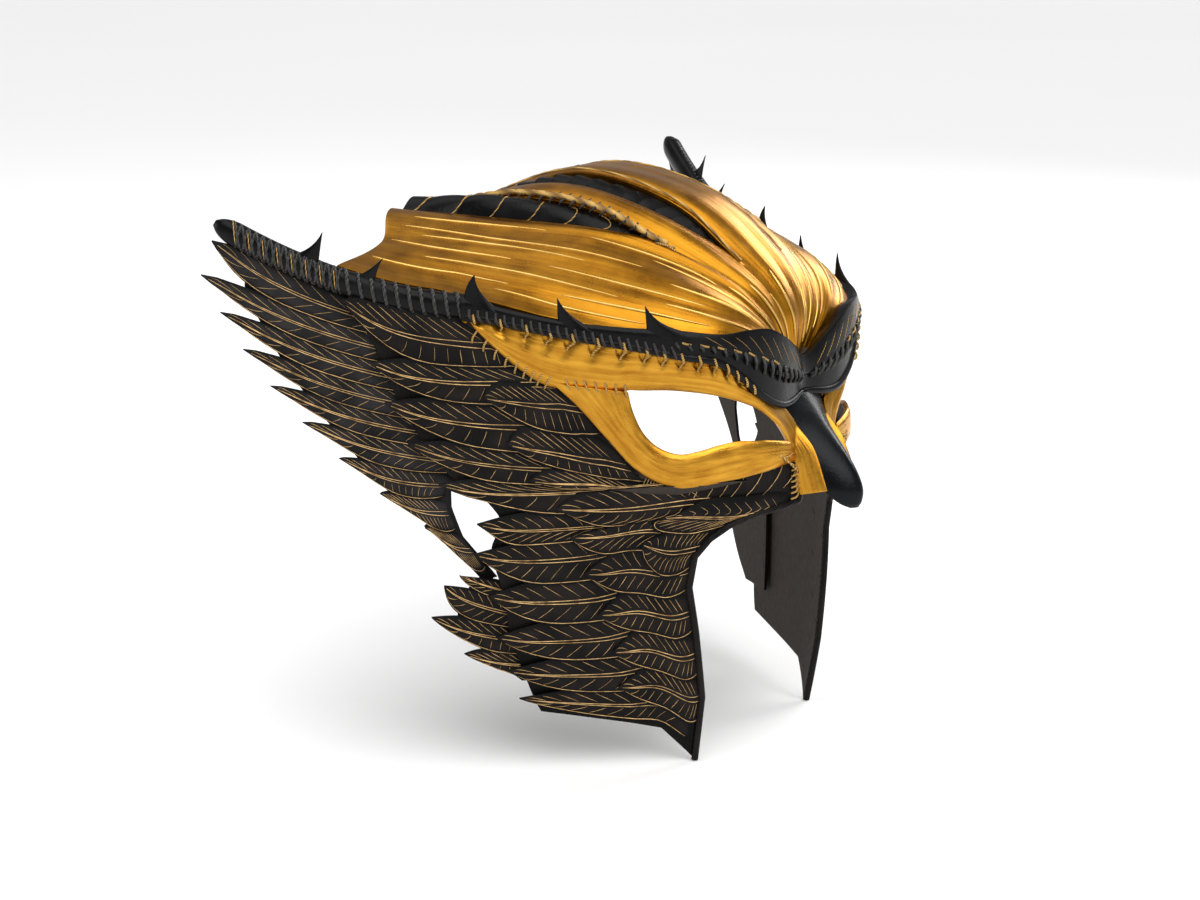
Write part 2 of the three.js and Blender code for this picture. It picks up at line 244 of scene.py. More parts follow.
def fit_trim(name, shape, finish):
    """A pair of trim pieces that lie on the leather."""
    for piece, _ in pair(name, shape, finish):
        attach(piece, "root")


class Wire:
    """A socket of a node. Arithmetic on wires adds Math nodes."""

    def __init__(self, nodes, socket):
        self.nodes = nodes
        self.socket = socket

    def math(self, operation, first, second=0.0):
        return self.nodes.node("ShaderNodeMath", {"operation": operation}, {0: first, 1: second})

    def output(self, name):
        return Wire(self.nodes, self.socket.node.outputs[name])

    def sine(self):
        return self.math("SINE", self)

    def __add__(self, other):
        return self.math("ADD", self, other)

    def __sub__(self, other):
        return self.math("SUBTRACT", self, other)

    def __rsub__(self, other):
        return self.math("SUBTRACT", other, self)

    def __mul__(self, other):
        return self.math("MULTIPLY", self, other)

    def __abs__(self):
        return self.math("ABSOLUTE", self)

    __radd__ = __add__
    __rmul__ = __mul__


class Nodes:
    """A tree of nodes, with one method that adds any node to it."""

    def __init__(self, tree):
        self.tree = tree

    def plug(self, socket, value):
        if isinstance(value, Wire):
            self.tree.links.new(value.socket, socket)
        else:
            socket.default_value = value

    def node(self, kind, settings, inputs, output=0):
        node = self.tree.nodes.new(kind)
        for name, value in settings.items():
            setattr(node, name, value)
        for name, value in inputs.items():
            self.plug(node.inputs[name], value)
        return Wire(self, node.outputs[output])


class Finish(Nodes):
    """A material, with the patterns that the finishes of the leather and the thread are made from."""

    def __init__(self, name):
        self.material = bpy.data.materials.new(name)
        self.material.use_nodes = True
        super().__init__(self.material.node_tree)

    def surface(self, **sockets):
        shader = self.tree.nodes["Principled BSDF"]
        for name, value in sockets.items():
            self.plug(shader.inputs[name.replace("_", " ")], value)

    def place(self):
        return self.node("ShaderNodeAttribute", {"attribute_name": "place"}, {}, "Vector")

    def place_parts(self):
        return self.node("ShaderNodeSeparateXYZ", {}, {0: self.place()})

    def object_place(self):
        return self.node("ShaderNodeTexCoord", {}, {}, "Object")

    def noise(self, vector, scale, detail):
        return self.node("ShaderNodeTexNoise", {}, {"Vector": vector, "Scale": scale, "Detail": detail})

    def stretch(self, value, low, high, bottom=0.0, top=1.0):
        return self.node("ShaderNodeMapRange", {}, {
            "Value": value, "From Min": low, "From Max": high, "To Min": bottom, "To Max": top})

    def blend(self, share, first, second):
        first, second = (tone if isinstance(tone, Wire) else (*tone, 1) for tone in (first, second))
        return self.node("ShaderNodeMix", {"data_type": "RGBA"}, {0: share, 6: first, 7: second}, 2)

    def bump(self, height, strength, distance):
        return self.node("ShaderNodeBump", {}, {
            "Height": height, "Strength": strength, "Distance": distance * MM}, "Normal")


# near black for a feather's edges: its burnishing and the painted shade where the feathers lap
BURNISHED_EDGE_AND_SHADE = (0.0012, 0.001, 0.001)


def feather_finish(name, dark, light):
    """Dark hide in two tones that is darker at a feather's edges, partly burnished and partly painted shade
    where the feathers lap, with fine barb lines that lean from the quill and a close grain."""
    finish = Finish(name)
    hide = finish.object_place()
    parts = finish.place_parts()
    barbs = ((parts.output("X") * 46 - abs(parts.output("Y")) * 5.5) * (2 * pi)).sine()
    grain = finish.noise(hide, 900, 4)
    cloud = finish.stretch(finish.noise(hide, 70, 4), 0.35, 0.7)
    # darker towards the edges: burnished edge plus painted shade between lapped feathers
    edge = finish.stretch(abs(parts.output("Y")), 0.6, 0.95)
    finish.surface(
        Base_Color=finish.blend(edge, finish.blend(cloud, dark, light), BURNISHED_EDGE_AND_SHADE),
        Roughness=finish.stretch(grain, 0.3, 0.7, 0.38, 0.58),
        Specular_IOR_Level=0.11,
        Normal=finish.bump(barbs * 0.5 + grain * 1.2, 0.35, 0.35))
    return finish


LANE_START = 0.17                # of a lane, above the first feather
LANE_SPARE = 0.3
SHEET_MARGIN = 0.002
FEATHER_LIFT = 3.0               # of a feather's point over its root
FEATHER_TILT = 0.25
FEATHER_CAMBER = 0.4
FEATHER_HALF_WIDTH = 0.57        # of its lane
QUILL = 0.4                      # of its lane, below the lane's top
QUILL_RISE = 0.4
ROOT_WIDTH = 0.72                # of the full width, which a feather has between the next two shares
FULL_FROM = 0.35
FULL_TO = 0.62
POINTED = 0.97
BARBS = 10                       # gold lines on each side of a quill
QUILL_LINE = 0.85
EDGE_LINE = 0.7
BARB_LINE = 0.44
LINE_PROFILE = np.array([[0.24, -0.25], [0.12, 0.28], [-0.12, 0.28], [-0.24, -0.25]])
chance = np.random.default_rng(11)


def lanes(count, odd=0):
    """Where the feathers' lanes start down a sheet, and the step from lane to lane. An odd row starts half
    a lane lower and has one feather less."""
    step = 1 / (count + LANE_SPARE)
    return (np.arange(count - odd) + LANE_START + 0.5 * odd) * step, step


def feathers(sheet, root, tip, lane, step, level, rise, sigma, tau):
    """Feathers on a sheet. Along sigma each runs from root to tip on the sheet's s lines. Its quill lies
    below the top of its lane and bends up by rise of the lane's step with the fifth power of sigma. Its
    half width opens from the root and closes with the square of the way to the point. Its height grows
    with sigma and towards its lower edge, and it is cambered across tau, from -1 at the top to 1."""
    opening = ROOT_WIDTH + (1 - ROOT_WIDTH) * np.sqrt(np.clip(sigma / FULL_FROM, 0, 1))
    closing = 1 - np.clip((sigma - FULL_TO) / (1 - FULL_TO), 0, 1) ** 2 * POINTED
    width = opening * closing
    s = root + (tip - root) * sigma
    t = lane + step * (QUILL - rise * sigma ** 5 + FEATHER_HALF_WIDTH * tau * width)
    flat = sheet(s, np.clip(t, SHEET_MARGIN, 1 - SHEET_MARGIN))
    across = FEATHER_TILT * tau * width + FEATHER_CAMBER * (1 - tau ** 2) * width
    return flat, level + FEATHER_LIFT * sigma + across


def feather_shapes(sheet, root, tip, lane, step, level, thin=1.0, rise=QUILL_RISE):
    """The leaves of a row of feathers, and the gold lines on them: two along the quill that meet at the
    point, one inside the lower edge, and barbs that lean back from the quill."""
    row = [np.broadcast_to(value, lane.shape)[:, None, None] for value in (root, tip, lane)]
    row += [step, level, rise]
    sigma = np.linspace(0, 1, 30)[None, :, None]
    tau = np.linspace(1, -1, 11)[None, None, :]
    leaf_place = np.stack(np.broadcast_arrays(sigma, tau, row[2]), -1)
    leaves = grid(bent(*feathers(sheet, *row, sigma, tau)), leaf_place)

    def lines(share, sigma, tau, width):
        """Ridges along rows of sigma and tau on every feather. They thin at both ends of the share, and
        each is worn to a width of its own."""
        path, out = path_on(bent, *feathers(sheet, *row, sigma[None], tau[None]))
        taper = np.minimum(1, 0.35 + 5 * np.minimum(share, 1 - share))
        worn = chance.uniform(0.75, 1.15, path.shape[:2])[..., None]
        size = width * thin * worn * taper
        return carry(LINE_PROFILE, path, out, size.reshape(-1, len(share)))

    share = np.linspace(0, 1, 16)
    quill = np.array([[-1.0], [1.0]])
    quills = lines(share, 0.02 + 0.95 * share + 0 * quill, quill * (0.03 + 0.09 * (1 - share)), QUILL_LINE)
    edges = lines(share, 0.03 + 0.93 * share[None], 0.9 + 0 * share[None], EDGE_LINE)
    share = np.linspace(0, 1, 5)
    start = np.linspace(0.12, 0.84, BARBS)
    barb_sigma = np.concatenate([start, start + 0.03])[:, None] + 0.085 * share
    barb_side = np.repeat([1.0, -1.0], BARBS)[:, None]
    barbs = lines(share, barb_sigma, barb_side * (0.2 + 0.58 * share), BARB_LINE)
    return leaves, join(quills, edges, barbs)


def backing(sheet, end, rows, columns, stand):
    """The sheet under the feathers, back from its front edge as far as the share end."""
    s, t = np.meshgrid(np.linspace(0, end, rows), np.linspace(1, 0, columns), indexing="ij")
    return grid(bent(sheet(s, t), stand), np.stack([s, t, s], -1))


ROLL_FOOT = (155, 65.7)          # where the rolled edge starts to rise
ROLL_SLOPE = 0.089
ROLL_BEND = 0.00277
ROLL_HALF_HEIGHT = 4.8
ROLL_TUCK = 1.5                  # of the sheets' upper edges, into the roll
HEM_START = 156                  # where the sheets' upper edges come under the roll
WING_HEM_END = 244
WING_CORNER = (250, 94.5)
WING_TIPS = {"count": 8, "first": (256, 81), "step": (5.5, 15.2), "bend": 1}
WING_FRONT = [(156, 59), (150, 30), (146, 2), (160, -8), (160, -16), (156, -28), (143, -45)]
WING_FRONT_SHARES = (0, 0.3, 0.6, 0.72, 0.8, 0.88, 1)
WING_FOOT = (150, -47)
WING_STAND = -UNDER
WING_ROOTS = 0.08                # of the way back, where its feathers start
WING_LINES = 0.85                # of the width of the gold lines on the cheek
BACKING = 1.2                    # the backing sheet and each feather
BACKING_EDGE = 0.35


def roll_height(q):
    """The height of the wing's rolled edge, a parabola that rises to the tip."""
    past = q - ROLL_FOOT[0]
    return ROLL_FOOT[1] + ROLL_SLOPE * past + ROLL_BEND * past ** 2


def under_roll(start, end):
    """A line along the roll, tucked up into its lower edge."""
    q = np.linspace(start, end, 20)
    return np.stack([q, roll_height(q) - ROLL_HALF_HEIGHT + ROLL_TUCK], -1)


def tip_row(count, first, step, bend):
    """The points of a rear edge: they step down evenly from the first, and forward by even steps and the
    bend times the square of their number."""
    number = np.arange(count)[:, None]
    return np.array(first) - np.array(step) * number - np.array([bend, 0]) * number ** 2


wing_tips = tip_row(**WING_TIPS)
wing_sheet = patch(
    top=walk([*under_roll(HEM_START, WING_HEM_END), WING_CORNER]),
    rear=rail([WING_CORNER, *wing_tips, WING_FOOT]),
    bottom=walk([WING_FRONT[-1], WING_FOOT]),
    front=walk(WING_FRONT, WING_FRONT_SHARES))
feather_leather = feather_finish("feather_leather", (0.003, 0.0026, 0.0024), (0.013, 0.01, 0.0085))
wing_leather = feather_finish("wing_leather", (0.007, 0.0065, 0.0065), (0.026, 0.024, 0.024))
raw_leather = Finish("raw_leather")
fibres = raw_leather.noise(raw_leather.object_place(), 420, 5)
raw_leather.surface(
    Base_Color=raw_leather.blend(fibres, (0.012, 0.009, 0.007), (0.045, 0.032, 0.022)),
    Roughness=0.85, Normal=raw_leather.bump(fibres, 0.4, 0.5))
gold_line = Finish("gold_line")
rubbed = gold_line.stretch(gold_line.noise(gold_line.object_place(), 260, 3), 0.3, 0.6)
gold_line.surface(
    Base_Color=gold_line.blend(rubbed, (0.26, 0.14, 0.045), (0.74, 0.48, 0.2)),
    Metallic=0.55, Roughness=0.42)

wing_backing = backing(wing_sheet, 0.83, 40, 60, WING_STAND + BACKING)
wing_leaves, wing_lines = feather_shapes(
    wing_sheet, WING_ROOTS, 1.0, *lanes(len(wing_tips) + 1), WING_STAND + BACKING, thin=WING_LINES)
fit_leather("wing", join(wing_backing, wing_leaves), wing_leather, BACKING, BACKING_EDGE)
fit_trim("wing_lines", wing_lines, gold_line)

# The jaw feathers are a short second layer behind the lower cheek, cut and tooled as the wing is and glued
# to the back of the cheek.
JAW_FRONT_TOP = (120, -52)
JAW_REAR_TOP = (157, -43)
JAW_REAR_LOW = (141, -90)
JAW_FRONT_LOW = (114, -90)
JAW_TIPS = [(164, -47), (171, -61), (158, -78)]
JAW_ROOTS = 0.02
jaw_sheet = patch(
    top=walk([JAW_FRONT_TOP, JAW_REAR_TOP]),
    rear=rail([JAW_REAR_TOP, *JAW_TIPS, JAW_REAR_LOW]),
    bottom=walk([JAW_FRONT_LOW, JAW_REAR_LOW]),
    front=walk([JAW_FRONT_TOP, JAW_FRONT_LOW]))
jaw_backing = backing(jaw_sheet, 0.8, 16, 20, WING_STAND + BACKING)
jaw_leaves, jaw_lines = feather_shapes(
    jaw_sheet, JAW_ROOTS, 1.0, *lanes(len(JAW_TIPS) + 1), WING_STAND + BACKING)
fit_leather(
    "jaw_feathers", join(jaw_backing, jaw_leaves), feather_leather, BACKING, BACKING_EDGE)
fit_trim("jaw_lines", jaw_lines, gold_line)

# The cheeks run from the lids and the rolled edge down to the jaw: one backing sheet with rows of long
# feathers that flow back from the nose and the mouth, and a burnished rim along the front edge.
CHEEK_TEMPLE = (148, 58.5)
CHEEK_HEM_END = 204
CHEEK_NOSE = (15.6, -1.5)
CHEEK_CHIN = (59, -126)
CHEEK_HEEL = (134, -102)
CHEEK_BOTTOM = [CHEEK_CHIN, (63, -122), (75, -111), (89, -108.5), (113, -105), CHEEK_HEEL]
CHEEK_TIPS = {"count": 5, "first": (192, 47), "step": (4, 17), "bend": 1.6}
LOWER_TIPS = [(152, -34), (147, -52), (145, -70), (141, -85), (137, -97)]
CHEEK_FRONT = [
    # q, z, the share of the way down the front edge, and how far below it the feathers start
    (*CHEEK_TEMPLE, 0, 0), (132, 42.4, 0.07, 0), (116.6, 34.3, 0.13, 0), (107, 24.4, 0.18, 0),
    (97, 12.4, 0.23, 1), (86, 0.4, 0.28, 3), (73, -6.6, 0.35, 4.5), (62, -6.6, 0.375, 4.5),
    (40, -2.6, 0.395, 5), (*CHEEK_NOSE, 0.41, 3), (14.6, -19, 0.47, 0), (38, -21.5, 0.51, 0),
    (49, -25, 0.535, 0), (57, -30, 0.565, 0), (63, -37, 0.6, 0), (65, -50, 0.66, 0), (61.5, -70, 0.76, 0),
    (57.5, -98, 0.89, 0), (*CHEEK_CHIN, 1, 0)]
ROWS = 5
ROW_STEP = 34
ROW_UNEVENNESS = 3
ROW_RISE = 0.15                  # of the quills in front of the rearmost row
FEATHER_LENGTH = 64
SHORTEST_FEATHER = 32
ROOT_INSET = 0.014               # of the feathers from the front edge, and more of it below the lower lid
LID_INSET = 0.16
LID_LANE = 0.37                  # where the lower lid meets the sheet, down its front edge
LID_REACH = 0.06
HATCHES = 20                     # short gold strokes that lean back from under the lower lid
HATCH_SPAN = (0.3, 0.41)
HATCH_DROP = 1.2
RIM_START = 0.458
RIM_RADIUS = 1.5


def cheek_pattern(bottom, front):
    """The cheek's flat pattern: from its hem under the roll down to its bottom edge, and from its front
    edge back to the feathers' points."""
    rear = rail([cheek_hem[-1], *cheek_tips, *LOWER_TIPS, CHEEK_HEEL])
    return patch(walk(cheek_hem), bottom, front, rear)


cheek_tips = tip_row(**CHEEK_TIPS)
cheek_hem = [CHEEK_TEMPLE, *under_roll(HEM_START, CHEEK_HEM_END)]
front_q, front_z, front_share, feather_drop = np.array(CHEEK_FRONT).T
cheek_front = walk(np.stack([front_q, front_z], -1), front_share)
feather_front = walk(np.stack([front_q, front_z - feather_drop], -1), front_share)
cheek_sheet = cheek_pattern(walk(CHEEK_BOTTOM), cheek_front)
feather_sheet = cheek_pattern(rail(CHEEK_BOTTOM), feather_front)
cheek_shapes = [backing(cheek_sheet, 0.93, 90, 90, BACKING)]
cheek_line_shapes = []
for number in range(ROWS):
    lane, step = lanes(len(cheek_tips) + len(LOWER_TIPS) + 1, odd=number % 2)
    length = np.linalg.norm(feather_sheet(1, lane) - feather_sheet(0, lane), axis=-1)
    uneven = chance.uniform(-ROW_UNEVENNESS, ROW_UNEVENNESS, len(lane))
    tips = 1 - number * (ROW_STEP + uneven) / length
    below_lid = np.exp(-((lane - LID_LANE) / LID_REACH) ** 2)
    roots = np.maximum(tips - FEATHER_LENGTH / length, ROOT_INSET + LID_INSET * below_lid)
    kept = (tips - roots) * length > SHORTEST_FEATHER
    leaves, lines_on_them = feather_shapes(
        feather_sheet, roots[kept], tips[kept], lane[kept], step, BACKING,
        rise=ROW_RISE if number else QUILL_RISE)
    cheek_shapes.append(leaves)
    cheek_line_shapes.append(lines_on_them)
share = np.linspace(0, 1, 6)[:, None]
hatch_start = cheek_front(np.linspace(*HATCH_SPAN, HATCHES))[:, None] - (0, HATCH_DROP)
hatch_length = 9 + 0.16 * hatch_start[..., :1]
hatch = hatch_start + hatch_length * (share * (0.25, -0.85) + share ** 2 * (0.5, 0))
hatch_size = 0.8 * (1 - 0.7 * share[:, 0])
cheek_line_shapes.append(carry(LINE_PROFILE, *path_on(bent, hatch, BACKING + 0.7), hatch_size))
round_profile = np.stack([np.cos(np.arange(8) * pi / 4), np.sin(np.arange(8) * pi / 4)], -1)
rim_edge = cheek_front(np.linspace(RIM_START, 1, 160))
cheek_rim = carry(round_profile, *path_on(bent, rim_edge, RIM_RADIUS), RIM_RADIUS)
fit_leather("cheek", join(*cheek_shapes), feather_leather, BACKING, BACKING_EDGE)
fit_trim("cheek_rim", cheek_rim, feather_leather)
fit_trim("cheek_lines", join(*cheek_line_shapes), gold_line)

# The lids are two strips of leather gilded with size and leaf: the lower one cups under the eye, and the
# upper one runs from beside the nose over the eye to the temple. They are moulded wet, so they belly out,
# and the upper one puckers where thread draws it up to the brow.
BROW_EDGE = [
    (1.4, 21.5), (24, 20.6), (37, 27), (46, 35), (56, 42), (70, 45.5), (86, 49), (109, 53), (130, 57),
    (154, 61)]
BROW_OVERLAP = 1.2
LID_TUCK = 0.3
LID_EDGE = 0.6
LAP = 0.14                       # of a lid's width, over the cheek
LAP_STAND = 0.8
NOSE_LAP = 0.3                   # of the upper lid's width, under the beak
STITCHES = 16
PUCKER = 1.9
PUCKER_REACH = 0.01


def profile(rows):
    """A smooth value through rows of place and value: cubic spans whose slope at a row is the mean of the
    slopes on either side, and level at both ends."""
    places, values = np.array(rows, float).T
    slopes = np.diff(values) / np.diff(places)
    slopes = np.concatenate([[0], (slopes[:-1] + slopes[1:]) / 2, [0]])

    def at(place):
        i = np.clip(np.searchsorted(places, place, "right") - 1, 0, len(places) - 2)
        width = places[i + 1] - places[i]
        s = np.clip((place - places[i]) / width, 0, 1)
        return cubic(values[i], slopes[i] * width, values[i + 1], slopes[i + 1] * width, s)

    return at


def raised(surface, a, b, height, nudge=1e-3):
    """Points of a surface moved out by height along its normal, found from a nudge of a and b both ways."""
    along = surface(a + nudge, b) - surface(a - nudge, b)
    across = surface(a, b + nudge) - surface(a, b - nudge)
    return surface(a, b) + np.asarray(height)[..., None] * unit(np.cross(across, along))


def between(lower, upper):
    """A strip on the form's side between two rails: a runs along both, b from the lower to the upper."""
    def at(a, b):
        low, high = lower(a), upper(a)
        place = low + (high - low) * np.asarray(b)[..., None]
        return on_side(place[..., 0], place[..., 1], place[..., 2])

    return at


def ease(a, start, end):
    """A share that is 0 up to start and 1 from end, and level at both: three squares less two cubes."""
    share = np.clip((a - start) / (end - start), 0, 1)
    return share ** 2 * (3 - 2 * share)


def belly(b, rise):
    """The swell of a moulded strip: nothing at its edges and the full rise at its middle."""
    return rise * (1 - (2 * b - 1) ** 4)


def pucker(a, b):
    """A dimple under each stitch, along the upper part of the upper lid."""
    near = np.abs(a[..., None] - stitch_share).min(-1)
    return -PUCKER * np.exp(-(near / PUCKER_REACH) ** 2) * np.clip((b - 0.5) / 0.3, 0, 1)


def gilt_finish(name, deep, bright, streak_width, streak_length, crumpled):
    """Gold leaf on leather: streaks that follow the strip, fine crumples, and leaf rubbed thin in places."""
    finish = Finish(name)
    hide = finish.object_place()
    along = finish.node("ShaderNodeVectorMath", {"operation": "MULTIPLY"}, {
        0: finish.place(), 1: (1 / streak_width, 1 / streak_length, 1)})
    streaks = finish.noise(along, 1.0, 4)
    crumples = finish.noise(hide, 110, 2)
    grain = finish.noise(hide, 850, 3)
    thin = finish.stretch(streaks * 0.65 + crumples * 0.35, 0.32, 0.68)
    finish.surface(
        Base_Color=finish.blend(thin, deep, bright),
        Metallic=0.92,
        Roughness=finish.stretch(crumples, 0.3, 0.7, 0.24, 0.36),
        Normal=finish.bump(streaks * 0.55 + crumples * crumpled + grain * 0.1, 0.5, 1.0))
    return finish


# the lids' edge lines, each point with its q, its height and its stand
lid_low = rail([
    (14, -17, -2), (16, -8, -2), (18, -1, -2), (23, 8, -2), (31, 16, -1), (41, 23.5, 0), (55, 29, 0),
    (72, 32, 0), (90, 32.5, 0), (117, 36, 0), (132, 43, 0), (152, 58, 0)])
cheek_top = rail([
    (16.5, -2, -3.2), (30, -2, 0), (40, -3, 0), (50, -4.4, 0), (62, -6, 0), (73, -6, 0), (86, 1, 0),
    (97, 13, 0), (107, 25, 0), (116.6, 34.9, 0)])
brow_stand = profile([
    (0, -10), (14, -6), (26, -2), (42, 2.5), (62, 6.5), (84, 7.5), (115, 6), (158, 2.5)])
brow_q, brow_z = np.array(BROW_EDGE[1:], float).T
lid_top_rows = np.stack([brow_q, brow_z + BROW_OVERLAP, brow_stand(brow_q) - UNDER - LID_TUCK], -1)
lid_top = rail([(10.4, -15, 9), (11.2, 0, 3), (14, 11, -4.5), *lid_top_rows])
eye_low = rail([
    (20.5, 6.2, -2.8), (36, 9, 0), (45, 10, 0), (54, 9, 0), (62, 7, 0), (70, 6, 0), (78, 9, 0), (84, 15, 0),
    (88, 23.5, 0), (90, 31.4, 0)])
on_upper_lid = between(lid_low, lid_top)
on_lower_lid = between(cheek_top, eye_low)
stitch_share = np.linspace(0.4, 0.985, STITCHES)
gilt_lid = gilt_finish("gilt_lid", (0.36, 0.145, 0.01), (0.68, 0.345, 0.035), 1.6, 20.0, 0.5)
a, b = np.meshgrid(np.linspace(0, 1, 240), np.linspace(0, 1, 22), indexing="ij")
lid_place = np.stack([b * 16, a * 180, a], -1)
swell = 0.6 + 0.9 * np.clip(4 * a - 0.6, 0, 1)
belly_out = LEATHER + belly(b, swell) + pucker(a, b) + LAP_STAND * ease(a, 0.78, 0.84)
b = b - LAP * ease(a, 0.72, 0.76) * (1 - b) + NOSE_LAP * b * np.clip(1.5 - a / 0.2, 0, 1)
upper_lid = grid(raised(on_upper_lid, a, b, belly_out), lid_place)
a, b = np.meshgrid(np.linspace(0, 1, 160), np.linspace(0, 1, 20), indexing="ij")
lid_place = np.stack([b * 14, a * 130, a + 3], -1)
belly_out = LEATHER + belly(b, 1.4) + LAP_STAND
lower_lid = grid(raised(on_lower_lid, a, b - LAP * (1 - b), belly_out), lid_place)
fit_leather("lower_lid", lower_lid, gilt_lid, LEATHER, LID_EDGE)
fit_leather("upper_lid", upper_lid, gilt_lid, LEATHER, LID_EDGE)

# The lid seams are laced with waxed linen thread: whip stitches join the upper lid to the lower lid and the
# cheek at the outer corner, a crossed knot closes the inner corner, and more run down beside the nose.
THREAD_RADIUS = 0.42
THREAD_TURNS = 9
CORNER_STITCHES = 9
LID_STITCHES = 7
NOSE_STITCHES = 6


def outwards(points):
    """Directions away from the form's upright axis, turned up a little."""
    return unit(points * (1, 1, 0.2))


def threads(stops, radius):
    """Threads that run smoothly through rows of points, one row of points for each stop on the way."""
    stops = np.array(stops)
    share = np.linspace(0, 1, 4 * len(stops) + 1)
    path = rail(stops.reshape(len(stops), -1))(share)
    path = path.reshape(len(share), -1, 3).swapaxes(0, 1)
    return carry(round_profile, path, outwards(path), radius)


def arch(start, end, rise, radius=THREAD_RADIUS):
    """A thread between two points that bows outwards at its middle."""
    middle = (start + end) / 2
    return threads([start, middle + rise * outwards(middle), end], radius)


def on_skin(surface, a, b, height):
    """Points over a lid's outer face."""
    a, b = np.broadcast_arrays(np.asarray(a, float), np.asarray(b, float))
    return raised(surface, a, b, LEATHER + LAP_STAND + height)


def over_cheek(q, z, height):
    """Points over the cheek's feathers."""
    return on_side(q, z, BACKING + 1.2 + height)


def thread_finish(name, dark, light, rough, metallic):
    """Thread twisted from two tones: a sine of the turns along it and of the way around it."""
    finish = Finish(name)
    parts = finish.place_parts()
    twist = ((parts.output("X") * THREAD_TURNS + parts.output("Y")) * (2 * pi)).sine()
    finish.surface(
        Base_Color=finish.blend(twist * 0.5 + 0.5, dark, light),
        Roughness=rough, Metallic=metallic, Normal=finish.bump(twist, 0.5, 0.2))
    return finish


gold_thread = thread_finish("gold_thread", (0.2, 0.1, 0.02), (0.62, 0.39, 0.11), 0.5, 0.25)
seam = np.linspace(0.835, 0.985, CORNER_STITCHES)
low = lid_low(seam)
corner_stitches = arch(
    on_skin(on_upper_lid, seam, 0.2, 0.4), over_cheek(low[:, 0] + 2.5, low[:, 1] - 4.0, -0.2), 1.4)
seam = np.linspace(0.815, 0.735, LID_STITCHES)
lid_stitches = arch(
    on_skin(on_upper_lid, seam, 0.16, 0.3),
    on_skin(on_lower_lid, 0.965, np.linspace(0.06, 0.95, LID_STITCHES), 0.3), 1.2)
knot = arch(
    on_skin(on_lower_lid, [0.1, 0.15, 0.09, 0.17], [0.2, 0.8, 0.6, 0.35], 0.3),
    on_skin(on_upper_lid, [0.16, 0.1, 0.07, 0.2], [0.35, 0.3, 0.4, 0.25], -0.3), 1.8)
nose_stitches = arch(
    over_cheek(20.0, np.linspace(-17.8, -5.8, NOSE_STITCHES), -0.4),
    on_skin(on_upper_lid, np.linspace(0.01, 0.1, NOSE_STITCHES), 0.3, -0.3), 1.0)
fit_trim(
    "lid_stitches", join(corner_stitches, lid_stitches, knot, nose_stitches), gold_thread)

# The crown is one gilded skin over the top of the head, drawn to a point between the brows. Two slits on
# each side open it towards the back, soft folds run along its bands, and its side edges are held inside
# the brows and the rolled edges of the wings.
CROWN_RAILS = [
    (0, [(0, -82.4, 31), (0, -83.6, 56), (0, -69, 77.5), (0, -38, 98.5), (0, 12, 106.5), (0, 62, 90)]),
    (0.35, [(-1.2, -82.4, 31), (-17, -80, 57), (-29, -61, 75.5), (-37, -22, 93.5), (-41, 18, 99),
            (-46, 62, 91)]),
    (0.5, [(-1.8, -82.4, 31.2), (-21.5, -80.5, 54.5), (-33.5, -61.5, 72.6), (-46, -22, 87.5), (-59, 20, 91),
           (-76, 61, 94)]),
    (0.75, [(-2.6, -82.4, 31.4), (-33, -83, 53), (-56, -63, 65), (-71, -25, 74), (-87, 13, 79),
            (-104, 47, 84)])]
CROWN_Q = np.linspace(4, 204, 21)
CROWN_EDGE = 0.6
CROWN_EDGE_LIFT = 2.8
CROWN_BROW_TUCK = 2.1
CROWN_ROLL_TUCK = 1.0
BROW_TUCK_FULL = 44              # from here on the crown's edge is fully in the brow
BROW_LEFT = 148                  # where the crown's edge leaves the brow, and where it is in the roll
ROLL_REACHED = 164
ROLL_HALF_THICKNESS = 4
ROLL_INSET = 0.6                 # of the roll's middle, from the form
SLITS = [
    {"front": (0.185, 0.37), "edges": [(0.145, 0.228, 0.55), (0.13, 0.24, 0.75), (0.126, 0.243, 1)]},
    {"front": (0.425, 0.5), "edges": [(0.378, 0.478, 0.6), (0.366, 0.488, 0.8), (0.36, 0.49, 1)]}]
SLIT_PLACES = 0.9                # edges nearer to the middle than this are edges of slits
SLIT_OPENING = (0.38, 0.2)       # where the slits start to open, and how soon their edges turn down
TURNED_DOWN = 1.3
TURN_WIDTH = 2.2
CROWN_SPAN = (100, 190)          # millimetres for the finish: across from the middle, and front to back
FOLDS = 9
FOLD_HEIGHT = 0.16

edge_height = profile([(0, 29), (24, 40), (44, 46), (84, 53), (124, 60.5), (150, 66)])
to_roll = np.clip((CROWN_Q - BROW_LEFT) / (ROLL_REACHED - BROW_LEFT), 0, 1)
height = (1 - to_roll) * edge_height(CROWN_Q) + to_roll * (roll_height(CROWN_Q) + CROWN_EDGE_LIFT)
in_roll = CROWN_ROLL_TUCK - ROLL_INSET - ROLL_HALF_THICKNESS
in_brow = brow_stand(CROWN_Q) - UNDER + CROWN_BROW_TUCK * np.clip(CROWN_Q / BROW_TUCK_FULL, 0, 1)
stand = (1 - to_roll) * in_brow + to_roll * in_roll
crown_edge = on_side(CROWN_Q, height, stand) + (0, 0, HEAD_TOP)
crown_places = np.array([place for place, _ in CROWN_RAILS] + [1.0])
crown_rails = [rail(rows) for _, rows in CROWN_RAILS] + [rail(crown_edge)]


